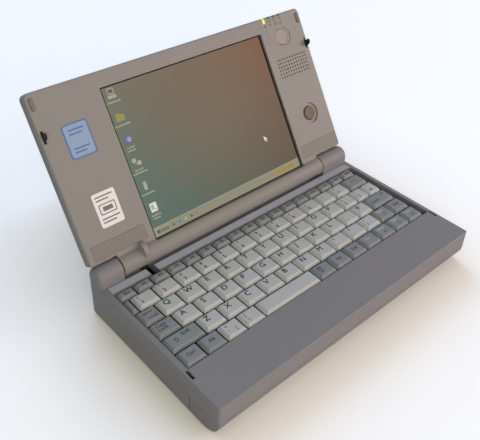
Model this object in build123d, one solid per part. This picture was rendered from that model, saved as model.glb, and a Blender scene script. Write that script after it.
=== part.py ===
from build123d import *
import math
import os

# Sizes are in millimetres. The frame has +X to the user's right, +Y away from the user and +Z up,
# and its origin is the centre of the casing's underside.

# Base casing
width = 210.0
base_height = 24.0
seam_height = 12.0
wall = 1.8
deck_plate = 1.8
front_corner_r = 1.2
back_corner_r = 3.0
deck_edge_r = 0.6
heel_r = 4.0
floor_plate = 1.8
seam_reveal = 0.25
seam_reveal_depth = 0.4

# Lid and hinge
lid_gap = 1.2
face_offset = 2.7
barrel_r = 6.4
hinge_behind_well = 13.5
hinge_from_back = 6.1
lid_rest = 57.6
lid_edge_v = 7.0
lid_corner_r = 3.0
lid_foot_r = 1.6
bezel_edge_r = 1.3
shell_edge_r = 2.4
bezel_depth = 3.2
lid_wall = 1.5
lid_fit = 0.2
shoulder_left = 17.2
shoulder_right = 25.7
barrel_gap = 0.9
trough_gap = 2.2
trough_lip = 2.6
root_fillet = 1.2
knuckle_end_r = 2.6
barrel_end_wall = 3.0
pin_r = 1.75
pin_play = 0.05
pin_reach = 10.0
pin_in_barrel = 2.5

# Display
active_width = 124.0
active_height = 93.0
view_border_side = 1.4
view_border_foot = 0.8
view_foot_v = 4.7
control_band = 39.3
panel_border = 4.8
panel_foot = 3.1
panel_thick = 5.2
screen_thick = 0.5
screen_set_back = 0.2

# Keyboard
rim_left = 3.7
rim_right = 3.1
well_front = 28.5
key_margin = 0.3
key_margin_right = 3.7
letter_rows = 5
row_pitch = 11.8
function_row = 7.3
key_gap = 0.6
key_proud = 0.8
key_height = 3.4
key_travel = 1.9
side_taper = 1.0
front_taper = 1.5
back_taper = 0.8
cap_corner = 0.3
stem = 3.2
guide_play = 0.25
stem_in_guide = 0.6
key_floor_gap = 0.3
backplate = 0.8
ledge = 2.0
ledge_thick = 1.2
seat_play = 0.3
strip_depth = 5.8
strip_groove = 0.3
strip_groove_depth = 0.5

# Key widths in letter keys, and how many of them a row holds
letters_across = 13.37
ctrl_share = 0.933
space_share = 2.973
shift_share = 1.523
caps_share = 1.04
tab_share = 0.872
narrow_share = 0.309
punctuation_share = 0.923

# Battery and its latch
battery_depth = 22.5
battery_gap = 0.25
battery_back_gap = 0.7
battery_wall = 1.3
cell_count = 4
shelf_thick = 1.4
latch_length = 10.0
latch_width = 4.0
latch_travel = 4.0
latch_grip = 0.4
latch_x = -40.0
latch_behind = 2.6
latch_play = 0.25
latch_flange = 1.2

# Latches, bumpers, lights, power button and speaker on the lid
hook_inset = 2.4
hook_drop = 25.2
hook_thick = 1.0
hook_width = 4.0
hook_reach = 4.6
hook_travel = 1.2
hook_slot_width = 1.6
hook_slot_play = 0.5
slider_length = 15.0
slider_thick = 1.7
slider_reach = 2.4
catch_slot_width = 1.8
catch_slot_length = 6.4
bumper_inset = 3.1
bumper_drop = 6.7
bumper_length = 7.6
bumper_width = 2.6
bumper_seat = 0.6
bumper_proud = 0.8
light_count = 4
light_inset = 33.6
light_pitch = 4.8
light_width = 2.2
light_length = 4.0
power_inset = 22.4
power_drop = 15.6
power_r = 5.4
power_play = 0.2
power_travel = 0.7
dish_shift = 1.6
dish_r = 6.7
dish_depth = 0.35
grille_columns = 12
grille_rows = 6
grille_pitch = 2.4
grille_hole_r = 0.62
grille_hole_sides = 8
grille_inset = 32.7
grille_drop = 42.4

# Pointing device on the lid
nub_inset = 18.5
nub_v = 37.0
nub_r = 4.8
nub_proud = 0.2
nub_edge_r = 0.7
nub_hollow_r = 15.0
nub_hollow_depth = 0.5
nub_stem_r = 1.5
nub_recess_r = 7.4
nub_recess_depth = 1.0
click_width = 20.0
click_height = 8.0
click_space = 2.0
click_play = 0.25
click_proud = 0.4
click_travel = 0.8
click_corner_r = 2.0
click_lip = 0.6
pointing_board_drop = 2.6
pointing_board_margin = 2.0

# Boards and speaker inside the lid
lid_board_thick = 1.0
lid_board_width = 26.0
lid_board_margin = 3.0
lid_post_r = 1.4
lid_post_inset = 1.8
switch_stem_r = 1.6
switch_stem = 1.0
switch_gap = 0.1
inverter_width = 12.0
inverter_margin = 2.0
inverter_foot_v = 20.0
inverter_head_v = 92.0
transformer_length = 18.0
transformer_width = 9.0
transformer_high = 4.2
transformer_v = 67.0
speaker_margin = 1.2
speaker_rim = 1.6
speaker_depth = 4.6
speaker_step = 2.2

# Hinge covers and the lid's switch fin
cover_height = 8.6
cover_thick = 0.8
cover_foot_v = 8.9
cover_outer_left = 3.5
cover_inner_left = 4.2
cover_outer_right = 1.0
cover_inner_right = 2.1
cover_play = 0.1
fin_inset = 33.1
fin_thick = 2.8
fin_proud = 2.0
fin_slot_width = 6.2
fin_slot_front = 0.5
fin_slot_behind = 2.9

# Sockets, card slot and cover on the hidden sides
card_width = 54.4
card_opening = 5.6
card_length = 86.0
card_off_middle = 2.2
cage_wall = 0.6
eject_size = 3.4
eject_play = 0.25
eject_travel = 5.0
eject_proud = 1.2
eject_space = 3.2
eject_grip = 9.0
phone_from_back = 10.0
phone_half = 4.0
phone_z = 7.0
phone_bore_r = 1.8
phone_bore_length = 12.0
phone_nose_r = 3.0
power_inlet_inset = 27.0
power_inlet_z = 8.0
inlet_bore_r = 2.75
inlet_bore_depth = 9.0
inlet_pin_r = 0.8
inlet_nose_r = 3.8
port_width = 54.0
port_height = 6.8
port_z = 7.9
port_cover_thick = 1.0
port_play = 0.3
window_inset = 35.0
window_width = 16.0
window_height = 5.0
foot_r = 5.0
foot_thick = 0.8
foot_inset_x = 14.0
foot_inset_y = 10.0
hatch_width = 48.0
hatch_depth = 36.0
hatch_thick = 0.9
hatch_x = -38.0
hatch_play = 0.2
screw_well_r = 1.9
screw_well_depth = 1.0

# Inside the base
drive_depth = 69.9
drive_high = 8.4
drive_wall_gap = 6.2
drive_cage_gap = 15.4
drive_behind = 9.0
board_z = 11.0
board_thick = 1.2
board_side_gap = 0.7
board_front_gap = 1.0
board_back_gap = 11.5
boss_r = 2.0
boss_front = 30.0
boss_back_gap = 16.5
boss_before_cage = 9.4
processor_size = 26.0
processor_thick = 1.2
processor_x = 1.0
processor_y = 7.0
heat_border = 4.0
heat_thick = 0.8
heat_pad = 22.0
chips = ((-59.0, 11.0, 22.0, 22.0, 1.5), (-29.0, 16.0, 14.0, 20.0, 1.5), (40.0, -8.0, 20.0, 20.0, 1.5),
         (77.0, -2.0, 30.0, 44.0, 1.0))

# Places worked out from the sizes above
well_depth = letter_rows * row_pitch + function_row + 2 * key_margin
base_depth = well_front + well_depth + hinge_behind_well + hinge_from_back
front_y = -base_depth / 2
back_y = base_depth / 2
hinge_y = back_y - hinge_from_back
hinge_z = base_height + lid_gap + face_offset
lid_top_v = hinge_y - front_y
lid_back_w = -barrel_r
split_w = face_offset - bezel_depth
trough_r = barrel_r + trough_gap
barrel_left = width / 2 - shoulder_left
barrel_right = width / 2 - shoulder_right
knuckle_left = barrel_left + barrel_gap
knuckle_right = barrel_right + barrel_gap
key_top = base_height + key_proud
key_bottom = key_top - key_height
frame_top = key_bottom - key_travel - key_floor_gap
stem_bottom = frame_top - stem_in_guide
plate_top = stem_bottom - key_travel - 0.1
ledge_top = plate_top - backplate
ledge_bottom = ledge_top - ledge_thick
well_left = width / 2 - rim_left
well_right = width / 2 - rim_right
key_left = -well_left + key_margin
key_field = well_left + well_right - key_margin - key_margin_right
key_pitch = key_field / letters_across
row_front = front_y + well_front + key_margin
panel_w = face_offset - lid_wall
battery_top = seam_height - battery_gap
cage_z = floor_plate
slot_z = cage_z + cage_wall
tray_y = front_y + battery_depth + battery_back_gap
card_y = (tray_y + wall + back_y - phone_from_back - phone_half - card_width) / 2 + card_off_middle
cage_end = width / 2 - card_length - cage_wall
eject_y = card_y - eject_space
hook_slot_length = hook_width + 2 * (hook_travel + hook_slot_play)
pointing_w = panel_w - pointing_board_drop
grille_length = (grille_columns - 1) * grille_pitch
grille_height = (grille_rows - 1) * grille_pitch
view_width = active_width + 2 * view_border_side
view_height = active_height + 2 * view_border_foot
view_right = width / 2 - control_band
view_left = view_right - view_width
view_centre_u = (view_left + view_right) / 2
hook_u = width / 2 - hook_inset
hook_v = lid_top_v - hook_drop
bumper_u = width / 2 - bumper_inset
bumper_v = lid_top_v - bumper_drop
light_first_u = width / 2 - light_inset
power_u = width / 2 - power_inset
power_v = lid_top_v - power_drop
grille_u = width / 2 - grille_inset
grille_v = lid_top_v - grille_drop
nub_u = width / 2 - nub_inset
fin_u = width / 2 - fin_inset
power_inlet_x = width / 2 - power_inlet_inset
window_x = window_inset - width / 2
drive_x0 = wall + drive_wall_gap - width / 2
drive_x1 = cage_end - drive_cage_gap
boss_middle = cage_end - boss_before_cage
board_top = board_z + board_thick


def from_front(distance):
    """Y of a point this far behind the front edge."""
    return front_y + distance


def slab(x0, x1, y0, y1, z0, z1):
    """Box between two opposite corners."""
    return Pos(x0, y0, z0) * Box(x1 - x0, y1 - y0, z1 - z0, align=(Align.MIN, Align.MIN, Align.MIN))


def rod_x(x0, x1, y, z, r):
    """Round bar along X."""
    return Pos(x0, y, z) * Rot(0, 90, 0) * Cylinder(r, x1 - x0, align=(Align.CENTER, Align.CENTER, Align.MIN))


def rod_y(y0, y1, x, z, r):
    """Round bar along Y."""
    bar = Cylinder(r, y1 - y0, align=(Align.CENTER, Align.CENTER, Align.MIN))
    return Pos(x, y0, z) * Rot(-90, 0, 0) * bar


def rod_z(z0, z1, x, y, r):
    """Round bar along Z."""
    return Pos(x, y, z0) * Cylinder(r, z1 - z0, align=(Align.CENTER, Align.CENTER, Align.MIN))


def plan_block(z0, z1, y0, y1, front_r, back_r, inset=0):
    """Block whose upright corners are rounded, as wide as the casing or inset a little."""
    body = slab(inset - width / 2, width / 2 - inset, y0, y1, z0, z1)
    if front_r:
        body = fillet(body.edges().filter_by(Axis.Z).group_by(Axis.Y)[0], front_r)
    return fillet(body.edges().filter_by(Axis.Z).group_by(Axis.Y)[-1], back_r)


def on_lid(shape):
    """Place a shape drawn in the lid's own axes: X along the hinge, Y up the lid, Z out of its face."""
    return Pos(0, hinge_y, hinge_z) * Rot(lid_rest, 0, 0) * shape


def lid_plate(w0, w1, inset=0):
    """Lid outline between two depths, with its four rounded corners, or inset a little."""
    plate = slab(inset - width / 2, width / 2 - inset, lid_edge_v + inset, lid_top_v - inset, w0, w1)
    plate = fillet(plate.edges().filter_by(Axis.Z).group_by(Axis.Y)[-1], lid_corner_r - inset)
    return fillet(plate.edges().filter_by(Axis.Z).group_by(Axis.Y)[0], lid_foot_r - inset)


def lid_reveal():
    """Fine groove round the lid where its two halves meet."""
    low = split_w - seam_reveal
    return lid_plate(low, split_w + 1) - lid_plate(low - 1, split_w + 2, seam_reveal_depth)


def barrel_section(w_low, w_high):
    """Cross-section of the hinge barrel and its root, cut between two depths."""
    root = Pos((lid_edge_v + 3) / 2, (lid_back_w + face_offset) / 2) * Rectangle(
        lid_edge_v + 3, face_offset - lid_back_w)
    section = Circle(barrel_r) + root
    corner = math.sqrt(barrel_r ** 2 - face_offset ** 2)
    notch = section.vertices().sort_by_distance((corner, face_offset, 0))[0]
    section = fillet(notch, root_fillet)
    band = Pos(0, (w_low + w_high) / 2) * Rectangle(4 * barrel_r + 2 * lid_edge_v, w_high - w_low)
    return section & band


def barrel_part(w_low, w_high):
    """Piece of barrel that belongs to the bezel or to the back shell."""
    body = extrude(Plane.YZ * barrel_section(w_low, w_high), barrel_left + barrel_right)
    return Pos(-barrel_left, 0, 0) * body


def barrel_hollow():
    """Space inside the barrel, its root and the pin bores at both ends."""
    left = -barrel_left + barrel_end_wall
    right = barrel_right - barrel_end_wall
    hollow = rod_x(left, right, 0, 0, barrel_r - lid_wall)
    hollow += slab(left, right, 0, lid_edge_v + lid_wall, lid_back_w + lid_wall, panel_w)
    return hollow + rod_x(-barrel_left - 1, barrel_right + 1, 0, 0, pin_r + pin_play)


def lid_hollow():
    """Space between the two halves of the lid."""
    inner = width / 2 - lid_wall - lid_fit
    return slab(-inner, inner, lid_edge_v + lid_wall, lid_top_v - lid_wall, lid_back_w + lid_wall, panel_w)


def view_cut():
    """Window in the bezel, a little wider at the face."""
    back = Plane.XY.offset(panel_w - 1) * Pos(view_centre_u, view_foot_v + view_height / 2) * Rectangle(
        view_width - 0.4, view_height - 0.4)
    front = Plane.XY.offset(barrel_r) * Pos(view_centre_u, view_foot_v + view_height / 2) * Rectangle(
        view_width + 0.6, view_height + 0.6)
    return loft([back, front], ruled=True)


def grille_holes():
    """Speaker holes through the bezel."""
    grid = GridLocations(grille_pitch, grille_pitch, grille_columns, grille_rows)
    middle = Pos(grille_u + grille_length / 2, grille_v + grille_height / 2, 0)
    holes = Sketch() + [place * RegularPolygon(grille_hole_r, grille_hole_sides) for place in grid]
    return extrude(Plane.XY.offset(panel_w - 1) * (middle * holes), lid_wall + 2)


def light_boxes(inset):
    """Room of the status lights at the bezel's upper edge."""
    boxes = []
    for i in range(light_count):
        u = light_first_u + i * light_pitch
        half = light_width / 2 - inset
        boxes.append(slab(u - half, u + half, lid_top_v - light_length + inset, lid_top_v + 1,
                          split_w + inset, face_offset + 1))
    return boxes


def cover_boxes(inset):
    """Room of the two hinge covers let into the bezel."""
    ends = ((cover_outer_left - width / 2, view_left - cover_inner_left),
            (view_right + cover_inner_right, width / 2 - cover_outer_right))
    return [slab(u0 + inset, u1 - inset, cover_foot_v + inset, cover_foot_v + cover_height - inset,
                 face_offset - cover_thick, face_offset) for u0, u1 in ends]


def oval(length, thick, u, v, w0, w1):
    """Upright oval pad."""
    face = Pos(u, v) * Rot(0, 0, 90) * SlotOverall(length, thick)
    return extrude(Plane.XY.offset(w0) * face, w1 - w0)


def bezel_form():
    """Outer form of the bezel before its cut-outs."""
    plate = lid_plate(split_w, face_offset)
    rim = [e for e in plate.edges().group_by(Axis.Z)[-1]]
    plate = fillet(rim, bezel_edge_r)
    return plate


def lid_bezel():
    """Front half of the lid with its window, recesses and the front of the barrel."""
    body = bezel_form() + barrel_part(split_w, barrel_r)
    body -= lid_hollow()
    body -= barrel_hollow()
    body -= view_cut()
    body -= grille_holes()
    for box in light_boxes(0):
        body -= box
    for box in cover_boxes(0):
        body -= box
    body -= rod_z(panel_w - 1, face_offset + 1, power_u, power_v, power_r + power_play)
    body -= rod_z(face_offset - dish_depth, face_offset + 1, power_u + dish_shift, power_v, dish_r)
    body -= rod_z(face_offset - nub_recess_depth, face_offset + 1, nub_u, nub_v, nub_recess_r)
    body -= rod_z(panel_w - 1, face_offset + 1, nub_u, nub_v, nub_r + seat_play)
    for side in (-1, 1):
        u = side * hook_u
        body -= slab(u - hook_slot_width / 2, u + hook_slot_width / 2, hook_v - hook_slot_length / 2,
                     hook_v + hook_slot_length / 2, split_w - 1, face_offset + 1)
        body -= oval(bumper_length, bumper_width, side * bumper_u, bumper_v,
                     face_offset - bumper_seat, face_offset + 1)
    return on_lid(body)


def lid_back():
    """Back half of the lid with the rear of the barrel and the click button openings."""
    plate = lid_plate(lid_back_w, split_w)
    rim = [e for e in plate.edges().group_by(Axis.Z)[0]]
    body = fillet(rim, shell_edge_r) - lid_reveal() + barrel_part(-barrel_r, split_w)
    body -= lid_hollow()
    body -= barrel_hollow()
    for v in click_centres():
        body -= click_block(v, click_play, lid_back_w - 1, lid_back_w + lid_wall + 1)
    return on_lid(body)


def click_centres():
    """Heights of the two click buttons, either side of the pointing nub."""
    step = (click_height + click_space) / 2
    return (nub_v + step, nub_v - step)


def click_block(v, grow, w0, w1):
    """Rounded block the shape of one click button."""
    face = Pos(nub_u, v) * RectangleRounded(click_width + 2 * grow, click_height + 2 * grow,
                                            click_corner_r + grow)
    return extrude(Plane.XY.offset(w0) * face, w1 - w0)


def click_button(v):
    """Click button with its stem towards the switch board."""
    body = click_block(v, 0, lid_back_w - click_proud, lid_back_w + lid_wall + click_lip)
    body = fillet(body.edges().group_by(Axis.Z)[0], 0.8 * click_proud)
    body += rod_z(lid_back_w, pointing_w - click_travel - switch_gap, nub_u, v, switch_stem_r)
    return on_lid(body)


def pointing_board():
    """Small circuit board behind the nub, on four posts against the bezel."""
    half_u = click_width / 2 + pointing_board_margin
    half_v = click_height + click_space / 2 + pointing_board_margin
    top = pointing_w + lid_board_thick
    body = slab(nub_u - half_u, nub_u + half_u, nub_v - half_v, nub_v + half_v, pointing_w, top)
    for place in GridLocations(2 * (half_u - lid_post_inset), 2 * (half_v - lid_post_inset), 2, 2):
        body += rod_z(top, panel_w, nub_u + place.position.X, nub_v + place.position.Y, lid_post_r)
    return on_lid(body)


def pointing_nub():
    """Round rubber nub with a dished top on its sensor stem."""
    top = face_offset + nub_proud
    body = rod_z(face_offset - lid_wall, top, nub_u, nub_v, nub_r)
    body = fillet(body.edges().group_by(Axis.Z)[-1], nub_edge_r)
    body -= Pos(nub_u, nub_v, top - nub_hollow_depth + nub_hollow_r) * Sphere(nub_hollow_r)
    body += rod_z(pointing_w + lid_board_thick, face_offset - lid_wall, nub_u, nub_v, nub_stem_r)
    return on_lid(body)


def power_button():
    """Round power button with its stem."""
    foot = panel_w - 0.2
    body = rod_z(foot, face_offset - 0.1, power_u, power_v, power_r)
    body = fillet(body.edges().group_by(Axis.Z)[-1], 0.3)
    body += rod_z(foot - switch_stem, foot, power_u, power_v, switch_stem_r)
    return on_lid(body)


def lights():
    """Clear light guides that wrap over the bezel's upper edge."""
    form = bezel_form()
    return Compound(children=[on_lid(form & box) for box in light_boxes(0.05)])


def hinge_covers():
    """Plates let into the bezel over the hinge screws."""
    return Compound(children=[on_lid(box) for box in cover_boxes(cover_play)])


def lid_bumpers():
    """Rubber pads that keep the lid off the deck."""
    pads = []
    for side in (-1, 1):
        pad = oval(bumper_length - 0.1, bumper_width - 0.1, side * bumper_u, bumper_v,
                   face_offset - bumper_seat, face_offset + bumper_proud)
        pads.append(on_lid(fillet(pad.edges().group_by(Axis.Z)[-1], 0.5)))
    return Compound(children=pads)


def lid_fin():
    """Fin on the barrel that works the lid switch through the slot in the deck."""
    with BuildSketch(Plane.YZ) as section:
        with BuildLine():
            top = barrel_r + fin_proud
            tip = Line((-1.4, barrel_r - 0.3), (-0.8, barrel_r + 0.3))
            brow = Spline(tip @ 1, (3.0, top), (6.4, top - 0.8), (8.3, face_offset + 1.6))
            root = Line(brow @ 1, (cover_foot_v - 0.2, face_offset))
            Polyline(root @ 1, (2.0, face_offset), (-1.4, barrel_r - 0.3))
        make_face()
    body = extrude(section.sketch, fin_thick)
    body = Pos(-fin_u - fin_thick / 2, 0, 0) * body
    body -= barrel_part(split_w, barrel_r)
    return on_lid(body.solids().sort_by(SortBy.VOLUME)[-1])


def panel_box():
    """Outline of the display module behind the bezel: left, right, foot, head."""
    half = view_width / 2 + panel_border
    return (view_centre_u - half, view_centre_u + half, view_foot_v - panel_foot,
            view_foot_v + view_height + panel_border)


def display_panel():
    """Display module with the pocket for its front glass."""
    u0, u1, v0, v1 = panel_box()
    body = slab(u0, u1, v0, v1, panel_w - panel_thick, panel_w)
    return on_lid(body - screen_block(0.1, 1.0))


def screen_block(grow, above):
    """Room of the front glass in the display module."""
    u0 = view_centre_u - active_width / 2 - grow
    v0 = view_foot_v + (view_height - active_height) / 2 - grow
    top = panel_w - screen_set_back
    return slab(u0, u0 + active_width + 2 * grow, v0, v0 + active_height + 2 * grow, top - screen_thick,
                top + above)


def screen():
    """Front glass, the area that shows the picture."""
    return on_lid(screen_block(0, 0))


def inverter_board():
    """Lamp supply board with its transformer, left of the display."""
    u1 = panel_box()[0] - inverter_margin
    u0 = u1 - inverter_width
    middle = (u0 + u1) / 2
    board = panel_w - lid_board_thick
    body = slab(u0, u1, inverter_foot_v, inverter_head_v, board, panel_w)
    half = transformer_width / 2
    for v, length in ((transformer_v, transformer_length),
                      (inverter_foot_v + transformer_width, transformer_width)):
        body += slab(middle - half, middle + half, v - length / 2, v + length / 2, board - transformer_high,
                     board)
    return on_lid(body)


def lid_board():
    """Switch and light board under the power button."""
    u0 = panel_box()[1] + lid_board_margin / 2
    u1 = u0 + lid_board_width
    v0 = power_v - power_r - lid_post_inset
    top = panel_w - 0.2 - switch_stem - power_travel - switch_gap
    body = slab(u0, u1, v0, lid_top_v - 2 * lid_wall, top - lid_board_thick, top)
    for u in (u0 + lid_post_inset, u1 - lid_post_inset):
        for v in (v0 + lid_post_inset, lid_top_v - light_length - lid_post_inset):
            body += rod_z(top, panel_w, u, v, lid_post_r)
    return on_lid(body)


def speaker():
    """Oval speaker against the grille."""
    middle = Pos(grille_u + grille_length / 2, grille_v + grille_height / 2)
    length = grille_length + 2 * speaker_margin
    height = grille_height + 2 * speaker_margin
    rim = middle * RectangleRounded(length, height, 3.0)
    cone = middle * RectangleRounded(length - 2 * speaker_step, height - 2 * speaker_step, 2.5)
    body = extrude(Plane.XY.offset(panel_w - speaker_rim) * rim, speaker_rim)
    body += extrude(Plane.XY.offset(panel_w - speaker_depth) * cone, speaker_depth - speaker_rim)
    return on_lid(body)


def latch_hook(side):
    """Black latch hook on its slider inside the lid."""
    u = side * hook_u
    tip = face_offset + hook_reach
    low = hook_v - hook_width / 2
    high = hook_v + hook_width / 2
    with BuildSketch(Plane.YZ) as section:
        with BuildLine():
            a = Line((low, split_w), (low, face_offset + 1.0))
            b = Spline(a @ 1, (low + 0.9, tip - 1.4), (high - 0.6, tip))
            c = Line(b @ 1, (high + 0.5, tip - 1.3))
            d = Line(c @ 1, (high, tip - 2.0))
            e = Line(d @ 1, (high, split_w))
            Line(e @ 1, a @ 0)
        make_face()
    body = Pos(u - hook_thick / 2, 0, 0) * extrude(section.sketch, hook_thick)
    ends = sorted((u + side * hook_thick / 2, u - side * slider_reach))
    body += slab(ends[0], ends[1], hook_v - slider_length / 2, hook_v + slider_length / 2,
                 split_w - slider_thick / 2, split_w + slider_thick / 2)
    return on_lid(body)


def hinge_pin(side):
    """Steel hinge pin, held in the base knuckle and turning in the barrel."""
    inner = knuckle_right if side > 0 else -knuckle_left
    end = inner + side * pin_reach
    start = inner - side * (barrel_gap + pin_in_barrel + barrel_end_wall)
    pin = rod_x(min(start, end), max(start, end), hinge_y, hinge_z, pin_r)
    return chamfer(pin.edges().filter_by(GeomType.CIRCLE), 0.25)


def knuckle(side):
    """Round-topped hinge shoulder at one side of the base."""
    inner = knuckle_right if side > 0 else knuckle_left
    length = width / 2 - inner
    profile = Pos(inner + length / 2, barrel_r / 2) * Rectangle(length, barrel_r)
    corner = profile.vertices().sort_by_distance((width / 2, barrel_r, 0))[0]
    profile = fillet(corner, knuckle_end_r)
    cap = revolve(Plane.XY * profile, Axis.X, 360)
    block = slab(inner, width / 2, -barrel_r, back_y - hinge_y, seam_height + 3 - hinge_z, 0)
    far = [e for e in block.edges().filter_by(Axis.Z) if e.center().X > width / 2 - 0.01]
    block = fillet(far, knuckle_end_r)
    body = cap + block
    bore = rod_x(inner - 1, inner + pin_reach + 0.2, 0, 0, pin_r + 0.02)
    body -= bore
    if side < 0:
        body = mirror(body, Plane.YZ)
    return Pos(0, hinge_y, hinge_z) * body


def catch_slots():
    """Slots in the deck that take the lid's hooks."""
    cuts = []
    y = hinge_y - hook_v
    depth = hook_reach - lid_gap + 1.0
    for side in (-1, 1):
        x = side * hook_u
        cuts.append(slab(x - catch_slot_width / 2, x + catch_slot_width / 2, y - catch_slot_length / 2,
                         y + catch_slot_length / 2, base_height - depth, base_height + 1))
    return cuts


def top_case():
    """Upper casing: palm rest, keyboard well, hinge trough and shoulders."""
    body = plan_block(seam_height, base_height, front_y, back_y, front_corner_r, back_corner_r)
    rim = [e for e in body.edges().group_by(Axis.Z)[-1] if e.center().Y < from_front(well_front + well_depth)]
    body = fillet(rim, deck_edge_r)
    half = width / 2
    body -= slab(-half + wall, half - wall, front_y + wall, back_y - wall, seam_height - 1, ledge_bottom)
    body -= slab(-half + wall, half - wall, front_y + wall, from_front(well_front - wall), ledge_bottom - 1,
                 base_height - deck_plate)
    body -= slab(-half + wall, half - wall, from_front(well_front + well_depth + wall), back_y - wall,
                 ledge_bottom - 1, hinge_z - trough_r - wall)
    body -= slab(-well_left, well_right, from_front(well_front), from_front(well_front + well_depth),
                 ledge_top, base_height + 1)
    body -= slab(-well_left + ledge, well_right - ledge, from_front(well_front + ledge),
                 from_front(well_front + well_depth - ledge), ledge_bottom - 1, ledge_top + 1)
    body -= rod_x(-knuckle_left, knuckle_right, hinge_y, hinge_z, trough_r)
    body -= slab(-knuckle_left, knuckle_right, hinge_y, back_y + 1, base_height - trough_lip, base_height + 1)
    strip_y = from_front(well_front + well_depth)
    body -= slab(-fin_u - fin_slot_width / 2, -fin_u + fin_slot_width / 2, strip_y - fin_slot_front,
                 hinge_y + fin_slot_behind, hinge_z - trough_r - wall - 0.1, base_height + 1)
    strip_back = strip_y + strip_depth
    groove_z = base_height - strip_groove_depth
    for x in (-well_left, well_right):
        body -= slab(x - strip_groove / 2, x + strip_groove / 2, strip_y - strip_groove, strip_back, groove_z,
                     base_height + 1)
    for x0, x1 in ((-well_left, -knuckle_left), (knuckle_right, well_right)):
        body -= slab(x0, x1, strip_back, strip_back + strip_groove, groove_z, base_height + 1)
    for cut in catch_slots():
        body -= cut
    body += knuckle(-1)
    body += knuckle(1)
    return body


def bottom_case():
    """Lower casing: tray behind the battery, shelf over it, bosses and openings."""
    half = width / 2
    heeled = slab(-half, half, tray_y, back_y, 0, seam_height)
    heeled = fillet(heeled.edges().filter_by(Axis.X).group_by(Axis.Y)[-1].group_by(Axis.Z)[0], heel_r)
    body = heeled & plan_block(0, seam_height, tray_y, back_y, 0, back_corner_r)
    low = seam_height - seam_reveal
    step = seam_reveal_depth
    body -= plan_block(low, seam_height + 1, tray_y, back_y, 0, back_corner_r) - plan_block(
        low - 1, seam_height + 2, tray_y - 1, back_y - step, 0, back_corner_r - step, step)
    inside = slab(-half + wall, half - wall, tray_y + wall, back_y - wall, floor_plate, seam_height + 1)
    low = [e for e in inside.edges().group_by(Axis.Z)[0] if e.center().Y > back_y - wall - 0.01]
    body -= fillet(low, heel_r - wall)
    shelf_half = half - wall - 0.2
    body += slab(-shelf_half, shelf_half, front_y + wall + 0.2, tray_y + wall, seam_height,
                 seam_height + shelf_thick)
    for x, y in boss_places():
        body += rod_z(floor_plate - 0.5, board_z, x, y, boss_r)
        body -= rod_z(-1, screw_well_depth, x, y, screw_well_r)
    body -= slab(half - wall - 1, half + 1, card_y, card_y + card_width, slot_z, slot_z + card_opening)
    body -= slab(half - wall - 1, half + 1, eject_y - eject_size / 2 - eject_play,
                 eject_y + eject_size / 2 + eject_play, slot_z + 1 - eject_play,
                 slot_z + 1 + eject_size + eject_play)
    body -= rod_x(half - wall - 1, half + 1, back_y - phone_from_back, phone_z, phone_nose_r + 0.02)
    body -= rod_y(back_y - wall - 1, back_y + 1, power_inlet_x, power_inlet_z, inlet_nose_r + 0.02)
    body -= slab(-port_width / 2 - port_play, port_width / 2 + port_play, back_y - wall - 1, back_y + 1,
                 port_z - port_height / 2 - port_play, port_z + port_height / 2 + port_play)
    body -= slab(window_x - window_width / 2, window_x + window_width / 2, back_y - wall - 1, back_y + 1,
                 power_inlet_z - window_height / 2, power_inlet_z + window_height / 2)
    body -= slab(hatch_x - hatch_width / 2, hatch_x + hatch_width / 2, -hatch_depth / 2, hatch_depth / 2, -1,
                 hatch_thick)
    reach = latch_length / 2 + latch_play
    body -= slab(latch_x - reach, latch_x + reach + latch_travel, latch_y() - latch_width / 2 - latch_play,
                 latch_y() + latch_width / 2 + latch_play, -1, floor_plate + 1)
    return body


def latch_y():
    """Y of the battery latch, just behind the tray's front wall."""
    return tray_y + wall + latch_behind + latch_width / 2


def boss_places():
    """Places of the posts that carry the main board."""
    side = width / 2 - wall - boss_r - board_side_gap
    front = from_front(boss_front)
    back = back_y - wall - boss_back_gap
    return [(x, y) for x in (-side, boss_middle, side) for y in (front, back)]


def battery_case():
    """Battery housing that forms the rounded front edge of the base."""
    r = battery_top
    with BuildSketch(Plane.YZ) as section:
        with BuildLine():
            a = CenterArc((front_y + r, r), r, 180, 90)
            b = Line(a @ 1, (from_front(battery_depth), 0))
            c = Line(b @ 1, (from_front(battery_depth), battery_top))
            Line(c @ 1, a @ 0)
        make_face()
    body = Pos(-width / 2, 0, 0) * extrude(section.sketch, width)
    corner = slab(-width / 2, width / 2, front_y, back_y, 0, seam_height)
    corner = fillet([e for e in corner.edges().filter_by(Axis.Z) if e.center().Y < 0], front_corner_r)
    return (body & corner) - battery_room(0)


def battery_room(inset):
    """Space for the cells: it stays inside the rounded front."""
    front = from_front(4.2 + battery_wall + inset)
    half = width / 2 - battery_wall - 1.0 - inset
    return slab(-half, half, front, from_front(battery_depth - battery_wall - inset),
                2.4 + battery_wall + inset, battery_top - battery_wall - inset)


def battery_cells():
    """Flat cells side by side in the housing."""
    room = battery_room(0.1).bounding_box()
    pitch = (room.max.X - room.min.X) / cell_count
    cells = []
    for i in range(cell_count):
        left = room.min.X + i * pitch
        cell = slab(left, left + pitch - 0.6, room.min.Y, room.max.Y, room.min.Z, room.max.Z)
        cells.append(fillet(cell.edges().filter_by(Axis.X), 1.2))
    return Compound(children=cells)


def battery_latch():
    """Sliding latch button in the underside."""
    x0 = latch_x - latch_length / 2
    x1 = latch_x + latch_length / 2
    y0 = latch_y() - latch_width / 2
    y1 = latch_y() + latch_width / 2
    seat = floor_plate + latch_play
    body = slab(x0, x1, y0, y1, 0.2, seat)
    for place in GridLocations(2.0, 1, 4, 1):
        x = latch_x + place.position.X
        body += slab(x - 0.4, x + 0.4, y0 + 0.4, y1 - 0.4, -latch_grip, 0.2)
    return body + slab(x0 - latch_flange, x1 + latch_flange, y0 - latch_flange, y1 + latch_flange, seat,
                       seat + latch_flange)


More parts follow.
